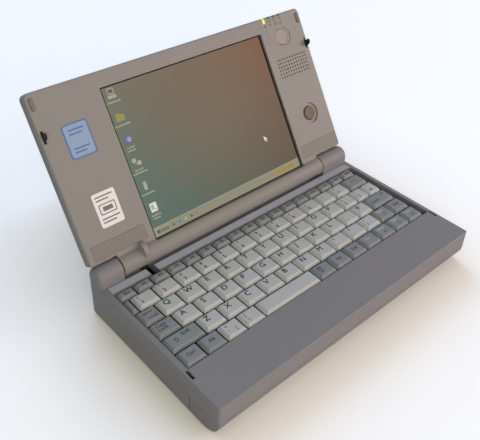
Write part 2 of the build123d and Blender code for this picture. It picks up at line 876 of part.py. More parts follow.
def key_cells():
    """Every key as node name, left, right, front and back edge of its place.

    Each row lists name, count and width, and the keys with no width of their own share what is left.
    """
    letter = key_pitch
    punctuation = key_pitch * punctuation_share
    ctrl = key_pitch * ctrl_share
    rows = [
        [("ctrl_key", 1, ctrl), ("alt_key", 1, ctrl), ("symbol_keys", 2, ctrl),
         ("space_bar", 1, key_pitch * space_share), ("edit_keys", 4, 0), ("left_arrow_key", 1, 0),
         ("down_arrow_key", 1, 0), ("right_arrow_key", 1, 0)],
        [("left_shift_key", 1, key_pitch * shift_share), ("z_row_keys", 9, letter),
         ("z_row_keys", 1, punctuation), ("up_arrow_key", 1, 0), ("right_shift_key", 1, 0)],
        [("caps_lock_key", 1, key_pitch * caps_share), ("a_row_keys", 9, letter),
         ("a_row_keys", 2, punctuation), ("enter_key", 1, 0)],
        [("tab_key", 1, key_pitch * tab_share), ("q_row_keys", 10, letter), ("q_row_keys", 1, punctuation),
         ("q_row_keys", 2, 0)],
        [("number_row_keys", 1, key_pitch * narrow_share), ("number_row_keys", 10, letter),
         ("number_row_keys", 2, punctuation), ("backspace_key", 1, 0)],
        [("function_keys", 17, 0)],
    ]
    cells = []
    y = row_front
    for row in rows:
        depth = function_row if row is rows[-1] else row_pitch
        stated = sum(count * size for name, count, size in row)
        shared = (key_field - stated) / sum(count for name, count, size in row if size == 0)
        x = key_left
        for name, count, size in row:
            for i in range(count):
                step = size or shared
                cells.append((name, x, x + step, y, y + depth))
                x += step
        y += depth
    return cells


def key_cap(x0, x1, y0, y1):
    """Key cap with sloped sides on a square stem."""
    w = x1 - x0 - key_gap
    d = y1 - y0 - key_gap
    slope = min(side_taper, 0.28 * w)
    foot = Pos((x0 + x1) / 2, (y0 + y1) / 2) * Rectangle(w, d)
    head = Pos((x0 + x1) / 2, (y0 + y1) / 2 + (front_taper - back_taper) / 2) * Rectangle(
        w - 2 * slope, d - front_taper - back_taper)
    cap = loft([Plane.XY.offset(key_bottom) * foot, Plane.XY.offset(key_top) * head], ruled=True)
    sides = [e for e in cap.edges() if abs(e.center().Z - (key_top + key_bottom) / 2) < 0.1]
    cap = chamfer(sides, min(cap_corner, 0.3 * w))
    post = key_stem(x0, x1, y0, y1, 0, stem_bottom, key_bottom + 0.2)
    return cap + post


def key_stem(x0, x1, y0, y1, grow, z0, z1):
    """Square post under a key, or the guide hole round it."""
    half_x = min(stem, 0.4 * (x1 - x0)) / 2 + grow
    half_y = stem / 2 + grow
    x = (x0 + x1) / 2
    y = (y0 + y1) / 2
    return slab(x - half_x, x + half_x, y - half_y, y + half_y, z0, z1)


def key_nodes():
    """All key caps, gathered under their node names."""
    nodes = {}
    for name, x0, x1, y0, y1 in key_cells():
        nodes.setdefault(name, []).append(key_cap(x0, x1, y0, y1))
    return {name: caps[0] if len(caps) == 1 else Compound(children=caps) for name, caps in nodes.items()}


def keyboard_frame():
    """Guide plate of the keyboard with a square hole for each stem."""
    body = slab(-well_left + seat_play, well_right - seat_play, from_front(well_front + seat_play),
                from_front(well_front + well_depth - seat_play), plate_top, frame_top)
    holes = Part() + [key_stem(x0, x1, y0, y1, guide_play, plate_top - 1, frame_top + 1)
                      for name, x0, x1, y0, y1 in key_cells()]
    return body - holes


def keyboard_backplate():
    """Steel plate under the key guides, resting on the well's ledge."""
    return slab(-well_left + seat_play, well_right - seat_play, from_front(well_front + seat_play),
                from_front(well_front + well_depth - seat_play), ledge_top, plate_top)


def main_board():
    """Main circuit board on its posts, with its larger chips."""
    half = width / 2 - wall - board_side_gap
    body = slab(-half, half, tray_y + wall + board_front_gap, back_y - wall - board_back_gap, board_z,
                board_top)
    for x, y, length, depth, thick in chips:
        body += slab(x - length / 2, x + length / 2, y - depth / 2, y + depth / 2, board_top,
                     board_top + thick)
    return body


def processor():
    """Processor package on the main board."""
    half = processor_size / 2
    return slab(processor_x - half, processor_x + half, processor_y - half, processor_y + half, board_top,
                board_top + processor_thick)


def heat_plate():
    """Aluminium plate that carries the processor's heat to the keyboard plate."""
    half = processor_size / 2 + heat_border
    z = board_top + processor_thick
    body = slab(processor_x - half, processor_x + half, processor_y - half, processor_y + half, z,
                z + heat_thick)
    half = heat_pad / 2
    return body + slab(processor_x - half, processor_x + half, processor_y - half, processor_y + half,
                       z + heat_thick, ledge_top)


def hard_drive():
    """Flat disk drive on the casing floor."""
    front = tray_y + wall + drive_behind
    body = slab(drive_x0, drive_x1, front, front + drive_depth, floor_plate, floor_plate + drive_high)
    return fillet(body.edges().filter_by(Axis.Z), 1.5)


def card_cage():
    """Sheet-metal cage of the card slot, open at the right side."""
    x1 = width / 2 - wall
    x0 = cage_end + cage_wall
    y1 = card_y + card_width
    body = slab(x0 - cage_wall, x1, card_y - cage_wall, y1 + cage_wall, cage_z,
                slot_z + card_opening + cage_wall)
    return body - slab(x0, x1 + 1, card_y, y1, slot_z, slot_z + card_opening)


def eject_button():
    """Push rod that ejects the card."""
    z = slot_z + 1
    x1 = width / 2 + eject_proud
    y0 = eject_y - eject_size / 2
    body = slab(x1 - eject_grip - eject_travel, x1, y0, y0 + eject_size, z, z + eject_size)
    return fillet(body.edges().group_by(Axis.X)[-1], 0.4)


def phone_socket():
    """Headphone socket behind the right wall."""
    x1 = width / 2
    y = back_y - phone_from_back
    body = slab(x1 - wall - phone_bore_length - 1, x1 - wall, y - phone_half, y + phone_half, phone_z - 3.8,
                phone_z + 3.8)
    body += rod_x(x1 - wall - 0.5, x1, y, phone_z, phone_nose_r)
    return body - rod_x(x1 - phone_bore_length, x1 + 1, y, phone_z, phone_bore_r)


def power_inlet():
    """Direct-current inlet with its centre pin, in the back wall."""
    y1 = back_y
    body = slab(power_inlet_x - 5, power_inlet_x + 5, y1 - wall - inlet_bore_depth - 1, y1 - wall,
                power_inlet_z - 3.9, power_inlet_z + 2.8)
    body += rod_y(y1 - wall - 0.5, y1, power_inlet_x, power_inlet_z, inlet_nose_r) & slab(
        power_inlet_x - 5, power_inlet_x + 5, y1 - wall - 1, y1, 0, seam_height)
    body -= rod_y(y1 - inlet_bore_depth, y1 + 1, power_inlet_x, power_inlet_z, inlet_bore_r)
    return body + rod_y(y1 - inlet_bore_depth - 0.5, y1 - 1.5, power_inlet_x, power_inlet_z, inlet_pin_r)


def port_connector():
    """Long many-way connector behind the port cover."""
    y1 = back_y - wall - 0.7
    half = port_width / 2 - 2
    body = slab(-half, half, y1 - 6, y1, port_z - 2.4, port_z + 2.4)
    body += slab(-half, half, y1 - 6, y1 - 3, floor_plate, port_z)
    return body - slab(-port_width / 2 + 4, port_width / 2 - 4, y1 - 1.0, y1 + 1, port_z - 1.2, port_z + 1.2)


def port_cover():
    """Flap over the port connector, hinged along its lower edge."""
    y1 = back_y - 0.1
    body = slab(-port_width / 2, port_width / 2, y1 - port_cover_thick, y1, port_z - port_height / 2,
                port_z + port_height / 2)
    edges = [e for e in body.edges().filter_by(Axis.X) if e.center().Z < port_z]
    return fillet(edges, port_cover_thick * 0.45)


def infrared_window():
    """Dark red window let into the back wall."""
    gap = 0.05
    half = window_width / 2 - gap
    return slab(window_x - half, window_x + half, back_y - wall, back_y - 0.1,
                power_inlet_z - window_height / 2 + gap, power_inlet_z + window_height / 2 - gap)


def rubber_feet():
    """Four round rubber feet."""
    feet = []
    for sx in (-1, 1):
        for y in (from_front(battery_depth + foot_inset_y), back_y - foot_inset_y):
            foot = rod_z(-foot_thick, 0, sx * (width / 2 - foot_inset_x), y, foot_r)
            feet.append(chamfer(foot.edges().group_by(Axis.Z)[0], 0.3))
    return Compound(children=feet)


def memory_hatch():
    """Flush cover over the memory bay in the underside."""
    return slab(hatch_x - hatch_width / 2 + hatch_play, hatch_x + hatch_width / 2 - hatch_play,
                -hatch_depth / 2 + hatch_play, hatch_depth / 2 - hatch_play, 0.05, hatch_thick)


nodes = {
    "top_case": top_case(),
    "bottom_case": bottom_case(),
    "battery_case": battery_case(),
    "battery_cells": battery_cells(),
    "battery_latch": battery_latch(),
    "keyboard_frame": keyboard_frame(),
    "keyboard_backplate": keyboard_backplate(),
    "main_board": main_board(),
    "processor": processor(),
    "heat_plate": heat_plate(),
    "hard_drive": hard_drive(),
    "card_cage": card_cage(),
    "eject_button": eject_button(),
    "phone_socket": phone_socket(),
    "power_inlet": power_inlet(),
    "port_connector": port_connector(),
    "port_cover": port_cover(),
    "infrared_window": infrared_window(),
    "rubber_feet": rubber_feet(),
    "memory_hatch": memory_hatch(),
    "hinge_pin_left": hinge_pin(-1),
    "hinge_pin_right": hinge_pin(1),
    "lid_bezel": lid_bezel(),
    "lid_back": lid_back(),
    "display_panel": display_panel(),
    "screen": screen(),
    "inverter_board": inverter_board(),
    "lid_board": lid_board(),
    "speaker": speaker(),
    "pointing_board": pointing_board(),
    "pointing_nub": pointing_nub(),
    "click_button_upper": click_button(click_centres()[0]),
    "click_button_lower": click_button(click_centres()[1]),
    "power_button": power_button(),
    "status_lights": lights(),
    "hinge_covers": hinge_covers(),
    "lid_bumpers": lid_bumpers(),
    "lid_fin": lid_fin(),
    "latch_hook_left": latch_hook(-1),
    "latch_hook_right": latch_hook(1),
}
nodes.update(key_nodes())

os.makedirs("parts", exist_ok=True)
for name, shape in nodes.items():
    export_step(shape, f"parts/{name}.step")
print(len(nodes), "nodes")
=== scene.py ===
import math
import random
import bmesh
import bpy
from mathutils import Matrix, Vector


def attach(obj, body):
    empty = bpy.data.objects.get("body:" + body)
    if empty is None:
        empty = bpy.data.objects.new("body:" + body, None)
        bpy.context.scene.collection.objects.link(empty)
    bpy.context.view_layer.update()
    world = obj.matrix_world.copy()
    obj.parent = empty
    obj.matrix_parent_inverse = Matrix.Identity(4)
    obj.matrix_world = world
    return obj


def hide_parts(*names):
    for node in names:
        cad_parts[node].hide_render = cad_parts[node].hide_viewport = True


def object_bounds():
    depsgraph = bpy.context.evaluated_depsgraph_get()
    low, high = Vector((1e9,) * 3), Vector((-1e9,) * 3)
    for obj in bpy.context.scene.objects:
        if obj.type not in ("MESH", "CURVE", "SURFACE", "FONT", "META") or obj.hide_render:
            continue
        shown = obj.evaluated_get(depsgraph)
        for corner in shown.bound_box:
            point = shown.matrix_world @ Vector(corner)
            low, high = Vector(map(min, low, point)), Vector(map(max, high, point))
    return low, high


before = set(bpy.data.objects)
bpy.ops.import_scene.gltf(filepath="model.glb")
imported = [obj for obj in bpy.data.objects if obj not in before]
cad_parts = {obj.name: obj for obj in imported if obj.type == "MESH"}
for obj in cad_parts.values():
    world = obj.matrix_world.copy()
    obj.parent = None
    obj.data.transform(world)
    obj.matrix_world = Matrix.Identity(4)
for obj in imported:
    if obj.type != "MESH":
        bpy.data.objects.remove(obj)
cad_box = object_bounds()


# Lower casing: the tray behind the battery, which carries the boards and the sockets.
# Injection-moulded grey plastic with a fine matt grain etched into its outside, screwed to the
# upper casing from below.
def eye(r, g, b):
    """A colour as the eye reads it, 0 to 255, as the linear light that a shader takes."""
    light = [(c / 255 / 12.92) if c < 11 else ((c / 255 + 0.055) / 1.055) ** 2.4 for c in (r, g, b)]
    return (*light, 1.0)


def shade(colour, factor):
    """The same colour, lighter or darker."""
    return tuple(min(1.0, c * factor) for c in colour[:3]) + (1.0,)


def step(finish, kind, choices=None, **feeds):
    """One node of a finish. A feed's name is its socket's, or at0, at1 and so on for its place."""
    made = finish.node_tree.nodes.new("ShaderNode" + kind)
    for name, choice in (choices or {}).items():
        setattr(made, name, choice)
    for name, value in feeds.items():
        socket = made.inputs[int(name[2:])] if name[:2] == "at" else made.inputs[name.replace("_", " ")]
        if hasattr(value, "is_output"):
            finish.node_tree.links.new(value, socket)
        else:
            socket.default_value = value
    return made


def feed(finish, value, shader, name):
    """Link a value to one socket of a shader or of an output."""
    finish.node_tree.links.new(value, shader.inputs[name])


def bare(name, colour, roughness, metal=0.0, specular=0.5):
    """A new finish with its constant values set, and its shader."""
    finish = bpy.data.materials.new(name)
    finish.use_nodes = True
    skin = finish.node_tree.nodes["Principled BSDF"]
    skin.inputs["Base Color"].default_value = colour
    skin.inputs["Roughness"].default_value = roughness
    skin.inputs["Metallic"].default_value = metal
    skin.inputs["Specular IOR Level"].default_value = specular
    return finish, skin


cloud_tone = 0.94


def moulded(name, colour, roughness=0.5, grain=5200.0, relief=0.22, wear_and_glint=0.25, edge=0.00016, specular=0.35,
            tint=None):
    """Moulded plastic: an etched grain, faint clouds in its colour, soft edges and pale edges, partly wear
    and partly painted highlight.
    """
    finish, skin = bare(name, colour, roughness, specular=specular)
    place = step(finish, "TexCoord").outputs["Object"]
    clouds = step(finish, "TexNoise", Vector=place, Scale=24.0, Detail=5.0).outputs["Fac"]
    grains = step(finish, "TexNoise", Vector=place, Scale=grain, Detail=2.0).outputs["Fac"]
    rounded = step(finish, "Bevel", {"samples": 6}, Radius=edge).outputs["Normal"]
    facing = step(finish, "NewGeometry").outputs["Normal"]
    turn = step(finish, "VectorMath", {"operation": "DOT_PRODUCT"}, at0=rounded, at1=facing).outputs["Value"]
    # Painted highlight and wear: every edge, convex or concave, is painted paler where the rounded normal
    # turns from the face's.
    rubbed_and_lit_edges = step(finish, "MapRange", Value=turn, From_Min=0.99, From_Max=0.8, To_Min=0.0, To_Max=wear_and_glint)
    plain = tint(finish, place, colour) if tint else colour
    cloudy = step(finish, "MixRGB", Fac=clouds, Color1=shade((1, 1, 1), cloud_tone), Color2=(1, 1, 1, 1))
    tone = step(finish, "MixRGB", {"blend_type": "MULTIPLY"}, Fac=1.0, Color1=plain,
                Color2=cloudy.outputs["Color"])
    speck = step(finish, "MapRange", Value=grains, From_Min=0.35, From_Max=0.65, To_Min=0.0, To_Max=0.14)
    speckled = step(finish, "MixRGB", {"blend_type": "MULTIPLY"}, Fac=speck.outputs["Result"],
                    Color1=tone.outputs["Color"], Color2=(0.6, 0.6, 0.6, 1))
    worn_and_lit = step(finish, "MixRGB", Fac=rubbed_and_lit_edges.outputs["Result"], Color1=speckled.outputs["Color"],
                Color2=shade(colour, 1.5))
    feed(finish, worn_and_lit.outputs["Color"], skin, "Base Color")
    sheen = step(finish, "MapRange", Value=clouds, From_Min=0.3, From_Max=0.7, To_Min=roughness - 0.06,
                 To_Max=roughness + 0.08)
    feed(finish, sheen.outputs["Result"], skin, "Roughness")
    bump = step(finish, "Bump", Strength=relief, Distance=0.00005, Height=grains, Normal=rounded)
    feed(finish, bump.outputs["Normal"], skin, "Normal")
    return finish


def dress(finish, *nodes):
    """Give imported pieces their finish."""
    for name in nodes:
        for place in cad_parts[name].material_slots:
            place.material = finish


case_grey = moulded("case_grey", eye(143, 140, 142))
dress(case_grey, "bottom_case")

# Underside screws: six cross-head steel screws that hold the two casings together from below.
# Their turned heads stand in round wells, with a rounded rim and a tapered cross.
well_floor = 1.0
screw_r = 1.7
screw_high = 0.6
rim_round = 0.25
rim_inset = 0.3
cross_arm = 1.05
cross_half = 0.24
cross_deep = 0.4
cross_taper = 0.75
screw_x = (-100.5, 9.0, 100.5)
screw_y = (-27.5, 39.2)
stain = 0.06


def metal(name, colour, roughness, brush=(900.0, 900.0, 900.0), relief=0.08):
    """Plain metal with fine tool marks, which run long where a scale is small, and faint stains."""
    finish, skin = bare(name, colour, roughness, metal=1.0)
    place = step(finish, "TexCoord").outputs["Object"]
    along = step(finish, "Mapping", Vector=place, Scale=brush).outputs["Vector"]
    marks = step(finish, "TexNoise", Vector=along, Scale=1.0, Detail=4.0).outputs["Fac"]
    clouds = step(finish, "TexNoise", Vector=place, Scale=60.0, Detail=4.0).outputs["Fac"]
    tone = step(finish, "MixRGB", Fac=clouds, Color1=shade(colour, 1 - stain),
                Color2=shade(colour, 1 + stain))
    feed(finish, tone.outputs["Color"], skin, "Base Color")
    gleam = step(finish, "MapRange", Value=marks, From_Min=0.3, From_Max=0.7, To_Min=roughness - 0.07,
                 To_Max=roughness + 0.1)
    feed(finish, gleam.outputs["Result"], skin, "Roughness")
    bump = step(finish, "Bump", Strength=relief, Distance=0.00004, Height=marks)
    feed(finish, bump.outputs["Normal"], skin, "Normal")
    return finish


crisp_from = math.radians(35)


def add_piece(name, mesh, finishes, body, place=None, stands_for=()):
    """Make one piece from a mesh drawn in millimetres, with its finishes and the body that it rides on."""
    if place:
        mesh.transform(place)
    mesh.transform(Matrix.Scale(0.001, 4))
    bmesh.ops.recalc_face_normals(mesh, faces=mesh.faces)
    data = bpy.data.meshes.new(name)
    mesh.to_mesh(data)
    mesh.free()
    for finish in finishes:
        data.materials.append(finish)
    data.shade_smooth()
    data.set_sharp_from_angle(angle=crisp_from)
    made = bpy.data.objects.new(name, data)
    bpy.context.collection.objects.link(made)
    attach(made, body)
    for node in stands_for:
        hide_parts(node)


def ring(mesh, points):
    """A closed loop of new points."""
    return [mesh.verts.new(p) for p in points]


def skirt(mesh, low, high, skin=0):
    """Faces between two loops of the same count."""
    for i in range(len(low)):
        j = (i + 1) % len(low)
        mesh.faces.new((low[i], low[j], high[j], high[i])).material_index = skin


def lid_over(mesh, loop, skin=0):
    """One face over a loop."""
    mesh.faces.new(loop).material_index = skin


def disc(r, z, x=0.0, y=0.0, count=24):
    """Points round a circle."""
    return [(x + r * math.cos(math.tau * i / count), y + r * math.sin(math.tau * i / count), z)
            for i in range(count)]


screw_steel = metal("screw_steel", eye(120, 118, 116), 0.36, brush=(2600.0, 2600.0, 2600.0))
screws = bmesh.new()
for x in screw_x:
    for y in screw_y:
        face = well_floor - screw_high
        rim = ring(screws, disc(screw_r, well_floor, x, y))
        neck = ring(screws, disc(screw_r, face + rim_round, x, y))
        brow = ring(screws, disc(screw_r - rim_inset, face, x, y))
        skirt(screws, rim, neck)
        skirt(screws, neck, brow)
        lid_over(screws, rim)
        a, h = cross_arm, cross_half
        plus = [(a, h), (h, h), (h, a), (-h, a), (-h, h), (-a, h),
                (-a, -h), (-h, -h), (-h, -a), (h, -a), (h, -h), (a, -h)]
        mouth = ring(screws, [(x + px, y + py, face) for px, py in plus])
        bed = ring(screws, [(x + px * cross_taper, y + py * cross_taper, face + cross_deep)
                            for px, py in plus])
        skirt(screws, mouth, bed)
        lid_over(screws, bed)
        edges = [screws.edges.get((loop[i], loop[(i + 1) % len(loop)])) or
                 screws.edges.new((loop[i], loop[(i + 1) % len(loop)]))
                 for loop in (brow, mouth) for i in range(len(loop))]
        bmesh.ops.triangle_fill(screws, edges=edges, use_beauty=True)
add_piece("underside_screws", screws, [screw_steel], "base")

# Memory hatch and feet: a thin flush cover over the memory bay, in the casing's own plastic, and
# four round black rubber pads stuck into shallow places near the corners of the underside.
dress(case_grey, "memory_hatch")
foot_rubber = moulded("foot_rubber", eye(38, 38, 39), roughness=0.78, grain=3000.0, relief=0.35, wear_and_glint=0.2,
                      specular=0.25)
dress(foot_rubber, "rubber_feet")


# Boards and processor: a green glass-fibre board on six posts, with black moulded chips, and the
# processor under an aluminium plate that carries its heat up to the keyboard's steel plate.
def circuit(name, axis, chip_level, upward=True):
    """Circuit board: green solder mask over copper tracks, and black chips past one level along an axis."""
    finish, skin = bare(name, eye(26, 84, 52), 0.42)
    place = step(finish, "TexCoord").outputs["Object"] if axis == "Z" else lid_place(finish)
    part = step(finish, "SeparateXYZ", Vector=place)
    grid = step(finish, "Mapping", Vector=place, Scale=(420.0, 420.0, 420.0)).outputs["Vector"]
    tracks = step(finish, "TexBrick", {"offset": 0.37}, Vector=grid, Color1=eye(30, 96, 60),
                  Color2=eye(22, 74, 46), Mortar=eye(52, 126, 84), Mortar_Size=0.11).outputs["Color"]
    pads = step(finish, "TexVoronoi", Vector=place, Scale=260.0).outputs["Distance"]
    dot = step(finish, "Math", {"operation": "LESS_THAN"}, at0=pads, at1=0.16).outputs["Value"]
    tinned = step(finish, "MixRGB", Fac=dot, Color1=tracks, Color2=eye(176, 172, 160)).outputs["Color"]
    side = "GREATER_THAN" if upward else "LESS_THAN"
    past = step(finish, "Math", {"operation": side}, at0=part.outputs["Z"], at1=chip_level).outputs["Value"]
    dressed = step(finish, "MixRGB", Fac=past, Color1=tinned, Color2=eye(30, 30, 32)).outputs["Color"]
    feed(finish, dressed, skin, "Base Color")
    bump = step(finish, "Bump", Strength=0.2, Distance=0.00004, Height=pads)
    feed(finish, bump.outputs["Normal"], skin, "Normal")
    return finish


hinge_y = 51.4
hinge_z = 27.9
lid_angle = math.radians(57.6)


def lid_place(finish):
    """A surface point in the lid's own axes: along the hinge, up the lid and out of its face."""
    axle = (0.0, hinge_y / 1000, hinge_z / 1000)
    place = step(finish, "TexCoord").outputs["Object"]
    turned = step(finish, "VectorRotate", {"rotation_type": "X_AXIS"}, Vector=place, Center=axle,
                  Angle=-lid_angle)
    return step(finish, "VectorMath", {"operation": "SUBTRACT"}, at0=turned.outputs["Vector"],
                at1=axle).outputs["Vector"]


board_chips_from = 0.01225
dress(circuit("board_green", "Z", board_chips_from), "main_board")
chip_black = moulded("chip_black", eye(34, 34, 36), roughness=0.5, grain=4200.0, wear_and_glint=0.1)
dress(chip_black, "processor")
heat_aluminium = metal("heat_aluminium", eye(196, 197, 199), 0.34, brush=(80.0, 2200.0, 400.0))
dress(heat_aluminium, "heat_plate")

# Disk drive: a flat box of die-cast aluminium with a slightly rough skin. It lies on the casing
# floor on thin foam.
drive_cast = metal("drive_cast", eye(152, 154, 158), 0.44, brush=(1500.0, 1500.0, 1500.0), relief=0.2)
dress(drive_cast, "hard_drive")

# Card cage and eject button: a folded sheet-steel cage for one card, open at the right side, with
# a black push rod beside it that drives the card out.
cage_steel = metal("cage_steel", eye(168, 170, 172), 0.33, brush=(60.0, 2600.0, 2600.0))
dress(cage_steel, "card_cage")
satin_black = moulded("satin_black", eye(26, 26, 28), roughness=0.42, grain=4200.0, wear_and_glint=0.18)
dress(satin_black, "eject_button")

# Sockets and port: black moulded sockets soldered to the board, a flap in the casing's plastic
# over the long connector, and a dark red window for the infrared link.
dress(satin_black, "phone_socket", "port_connector")

pin_x = 0.078
pin_z = 0.008
pin_r = 0.0009


def inlet_tint(finish, place, colour):
    """The inlet's centre pin is nickel-bright, its body black."""
    part = step(finish, "SeparateXYZ", Vector=place)
    off_x = step(finish, "Math", {"operation": "SUBTRACT"}, at0=part.outputs["X"], at1=pin_x).outputs["Value"]
    off_z = step(finish, "Math", {"operation": "SUBTRACT"}, at0=part.outputs["Z"], at1=pin_z).outputs["Value"]
    flat = step(finish, "CombineXYZ", X=off_x, Z=off_z).outputs["Vector"]
    reach = step(finish, "VectorMath", {"operation": "LENGTH"}, at0=flat).outputs["Value"]
    pin = step(finish, "Math", {"operation": "LESS_THAN"}, at0=reach, at1=pin_r).outputs["Value"]
    return step(finish, "MixRGB", Fac=pin, Color1=colour, Color2=eye(190, 186, 176)).outputs["Color"]


dress(moulded("inlet_black", eye(26, 26, 28), roughness=0.4, tint=inlet_tint), "power_inlet")
dress(case_grey, "port_cover")
window_red, skin = bare("window_red", eye(52, 12, 18), 0.08, specular=0.6)
place = step(window_red, "TexCoord").outputs["Object"]
smear = step(window_red, "TexNoise", Vector=place, Scale=300.0, Detail=3.0).outputs["Fac"]
depth_red = step(window_red, "MixRGB", Fac=smear, Color1=eye(40, 8, 14), Color2=eye(66, 16, 22))
feed(window_red, depth_red.outputs["Color"], skin, "Base Color")
smeared = step(window_red, "MapRange", Value=smear, From_Min=0.3, From_Max=0.8, To_Min=0.06, To_Max=0.2)
feed(window_red, smeared.outputs["Result"], skin, "Roughness")
dress(window_red, "infrared_window")


# Upper casing: palm rest, keyboard well and hinge shoulders in one moulding of the same plastic.
# The strip behind the function keys is a paler snap-in piece over the keyboard's fixings.
strip_front = 38.7
strip_back = 43.75
strip_half = 101.2
strip_low = 23.4
strip_high = 24.2


def between(finish, value, low, high):
    """1 between two limits, else 0."""
    middle, half = (low + high) / 2, (high - low) / 2
    return step(finish, "Math", {"operation": "COMPARE"}, at0=value, at1=middle, at2=half).outputs["Value"]


def both(finish, a, b):
    """1 where both masks are 1."""
    return step(finish, "Math", {"operation": "MULTIPLY"}, at0=a, at1=b).outputs["Value"]


def strip_tint(finish, place, colour):
    """The strip's paler, slightly violet grey."""
    part = step(finish, "SeparateXYZ", Vector=place)
    along = between(finish, part.outputs["X"], -strip_half / 1000, strip_half / 1000)
    across = between(finish, part.outputs["Y"], strip_front / 1000, strip_back / 1000)
    in_depth = between(finish, part.outputs["Z"], strip_low / 1000, strip_high / 1000)
    inside = both(finish, both(finish, along, across), in_depth)
    return step(finish, "MixRGB", Fac=inside, Color1=colour, Color2=eye(188, 190, 205)).outputs["Color"]


top_grey = moulded("top_grey", eye(143, 140, 142), tint=strip_tint)
dress(top_grey, "top_case")

# Microphone hole: a small round opening in the strip, over the microphone on the board below.
# Only its dark inside shows, drawn as a flat near-black disc just over the strip: painted shade.
hole_r = 0.55
hole_x, hole_y = 73.4, 42.1
deck_z = 24.0
hole_lift = 0.02
sound_hole = bmesh.new()
lid_over(sound_hole, ring(sound_hole, disc(hole_r, deck_z + hole_lift, hole_x, hole_y)))
# Painted shade for the dark inside of the hole.
painted_hole_shade = moulded("painted_hole_shade", eye(12, 12, 13), roughness=0.8, wear_and_glint=0.0, specular=0.1)
add_piece("microphone_hole", sound_hole, [painted_hole_shade], "base")

# Keyboard plates: a thin galvanised steel back plate and, on it, the black moulded frame that
# guides the stem of every key.
dress(metal("plate_steel", eye(158, 162, 164), 0.4, brush=(2400.0, 120.0, 600.0)), "keyboard_backplate")
frame_black = moulded("frame_black", eye(24, 24, 26), roughness=0.6, grain=3800.0, wear_and_glint=0.05)
dress(frame_black, "keyboard_frame")

# Keys: caps moulded in pale grey and dark grey, each with sloped sides, a crisp edge round a
# top that is dished for the finger, and a square stem. The characters are printed in black,
# and the second functions in white. They snap into the guide frame over rubber domes.
key_field = 199.2
key_left = -101.0
row_front = -28.7
letters_across = 13.37
letter = key_field / letters_across
row_pitch = 11.8
function_row = 7.3
key_gap = 0.85
key_top = 24.8
cap_foot = 22.8
lip_bottom = 21.6
lip_inset = 0.3
stem_half = 1.6
stem_bottom = 18.6
stem_share = 0.2
side_slope = 1.5
slope_share = 0.28
front_slope = 1.8
back_slope = 1.1
cap_corner = 0.35
brow_r = 0.2
dish = 0.2
long_dish = 0.12
long_key = 20
dish_runs = 7
black_slot, white_slot, dark_slot = 1, 2, 3

light_cap = moulded("light_cap", eye(204, 206, 204), roughness=0.46, grain=4600.0, relief=0.16, wear_and_glint=0.12,
                    edge=0.00012)
dark_cap = moulded("dark_cap", eye(144, 148, 150), roughness=0.46, grain=4600.0, relief=0.16, wear_and_glint=0.15,
                   edge=0.00012)


def print_ink(name, colour):
    """Printed ink, a little broken where fingers have scuffed it."""
    finish, skin = bare(name, colour, 0.4, specular=0.3)
    place = step(finish, "TexCoord").outputs["Object"]
    rub = step(finish, "TexNoise", Vector=place, Scale=1500.0, Detail=3.0).outputs["Fac"]
    tone = step(finish, "MixRGB", Fac=rub, Color1=shade(colour, 0.8), Color2=shade(colour, 1.25))
    feed(finish, tone.outputs["Color"], skin, "Base Color")
    return finish


black_ink = print_ink("black_ink", eye(20, 20, 24))
white_ink = print_ink("white_ink", eye(206, 208, 206))

ctrl = 0.933 * letter
comma = 0.923 * letter
rows = [
    (row_pitch, [("ctrl_key", "Ctrl", ctrl), ("alt_key", "Alt", ctrl), ("symbol_keys", "¬|`|¦", ctrl),
                 ("symbol_keys", "||\\", ctrl), ("space_bar", "", 2.973 * letter), ("edit_keys", "Alt/Gr", 0),
                 ("edit_keys", "Ins", 0), ("edit_keys", "Del", 0), ("edit_keys", "~Fn", 0),
                 ("left_arrow_key", "<~Home", 0), ("down_arrow_key", "v~PgDn", 0),
                 ("right_arrow_key", ">~End", 0)]),
    (row_pitch, [("left_shift_key", "Shift^", 1.523 * letter)] +
     [("z_row_keys", c, letter) for c in ("Z", "X", "C", "V", "B", "N", "M", "<|,", ">|.")] +
     [("z_row_keys", "?|/", comma), ("up_arrow_key", "^~PgUp", 0), ("right_shift_key", "Shift", 0)]),
    (row_pitch, [("caps_lock_key", "Caps/Lock", 1.04 * letter)] +
     [("a_row_keys", c, letter) for c in "ASDFGHJKL"] +
     [("a_row_keys", ":|;", comma), ("a_row_keys", "@|'", comma), ("enter_key", "Enter<", 0)]),
    (row_pitch, [("tab_key", "<>", 0.872 * letter)] + [("q_row_keys", c, letter) for c in "QWERTYUIOP"] +
     [("q_row_keys", "{|[", comma), ("q_row_keys", "}|]", 0), ("q_row_keys", "~|#", 0)]),
    (row_pitch, [("number_row_keys", "", 0.309 * letter)] +
     [("number_row_keys", a + "|" + b, letter) for a, b in zip("!\"£$%^&*()", "1234567890")] +
     [("number_row_keys", "_|-", comma), ("number_row_keys", "+|=", comma), ("backspace_key", "<--", 0)]),
    (function_row, [("function_keys", c, 0) for c in ["Esc"] + ["F%d" % i for i in range(1, 13)] +
                    ["Prt", "Ins", "Del", "End"]]),
]
light_nodes = ("symbol_keys", "space_bar", "z_row_keys", "a_row_keys", "q_row_keys", "number_row_keys")


def rounded_box(x0, x1, y0, y1, r):
    """Rounded rectangle as points, four to a corner."""
    points = []
    for cx, cy, turn in ((x1 - r, y1 - r, 0), (x0 + r, y1 - r, 90), (x0 + r, y0 + r, 180),
                         (x1 - r, y0 + r, 270)):
        for i in range(4):
            a = math.radians(turn + 30 * i)
            points.append((cx + r * math.cos(a), cy + r * math.sin(a)))
    return points


def key_crown(x, middle, half, deep):
    """Height of a cap's top across its width."""
    return key_top - deep * max(0.0, 1 - ((x - middle) / half) ** 2)


def inward(box, by):
    """A rectangle made smaller on every side."""
    return box[0] + by, box[1] - by, box[2] + by, box[3] - by


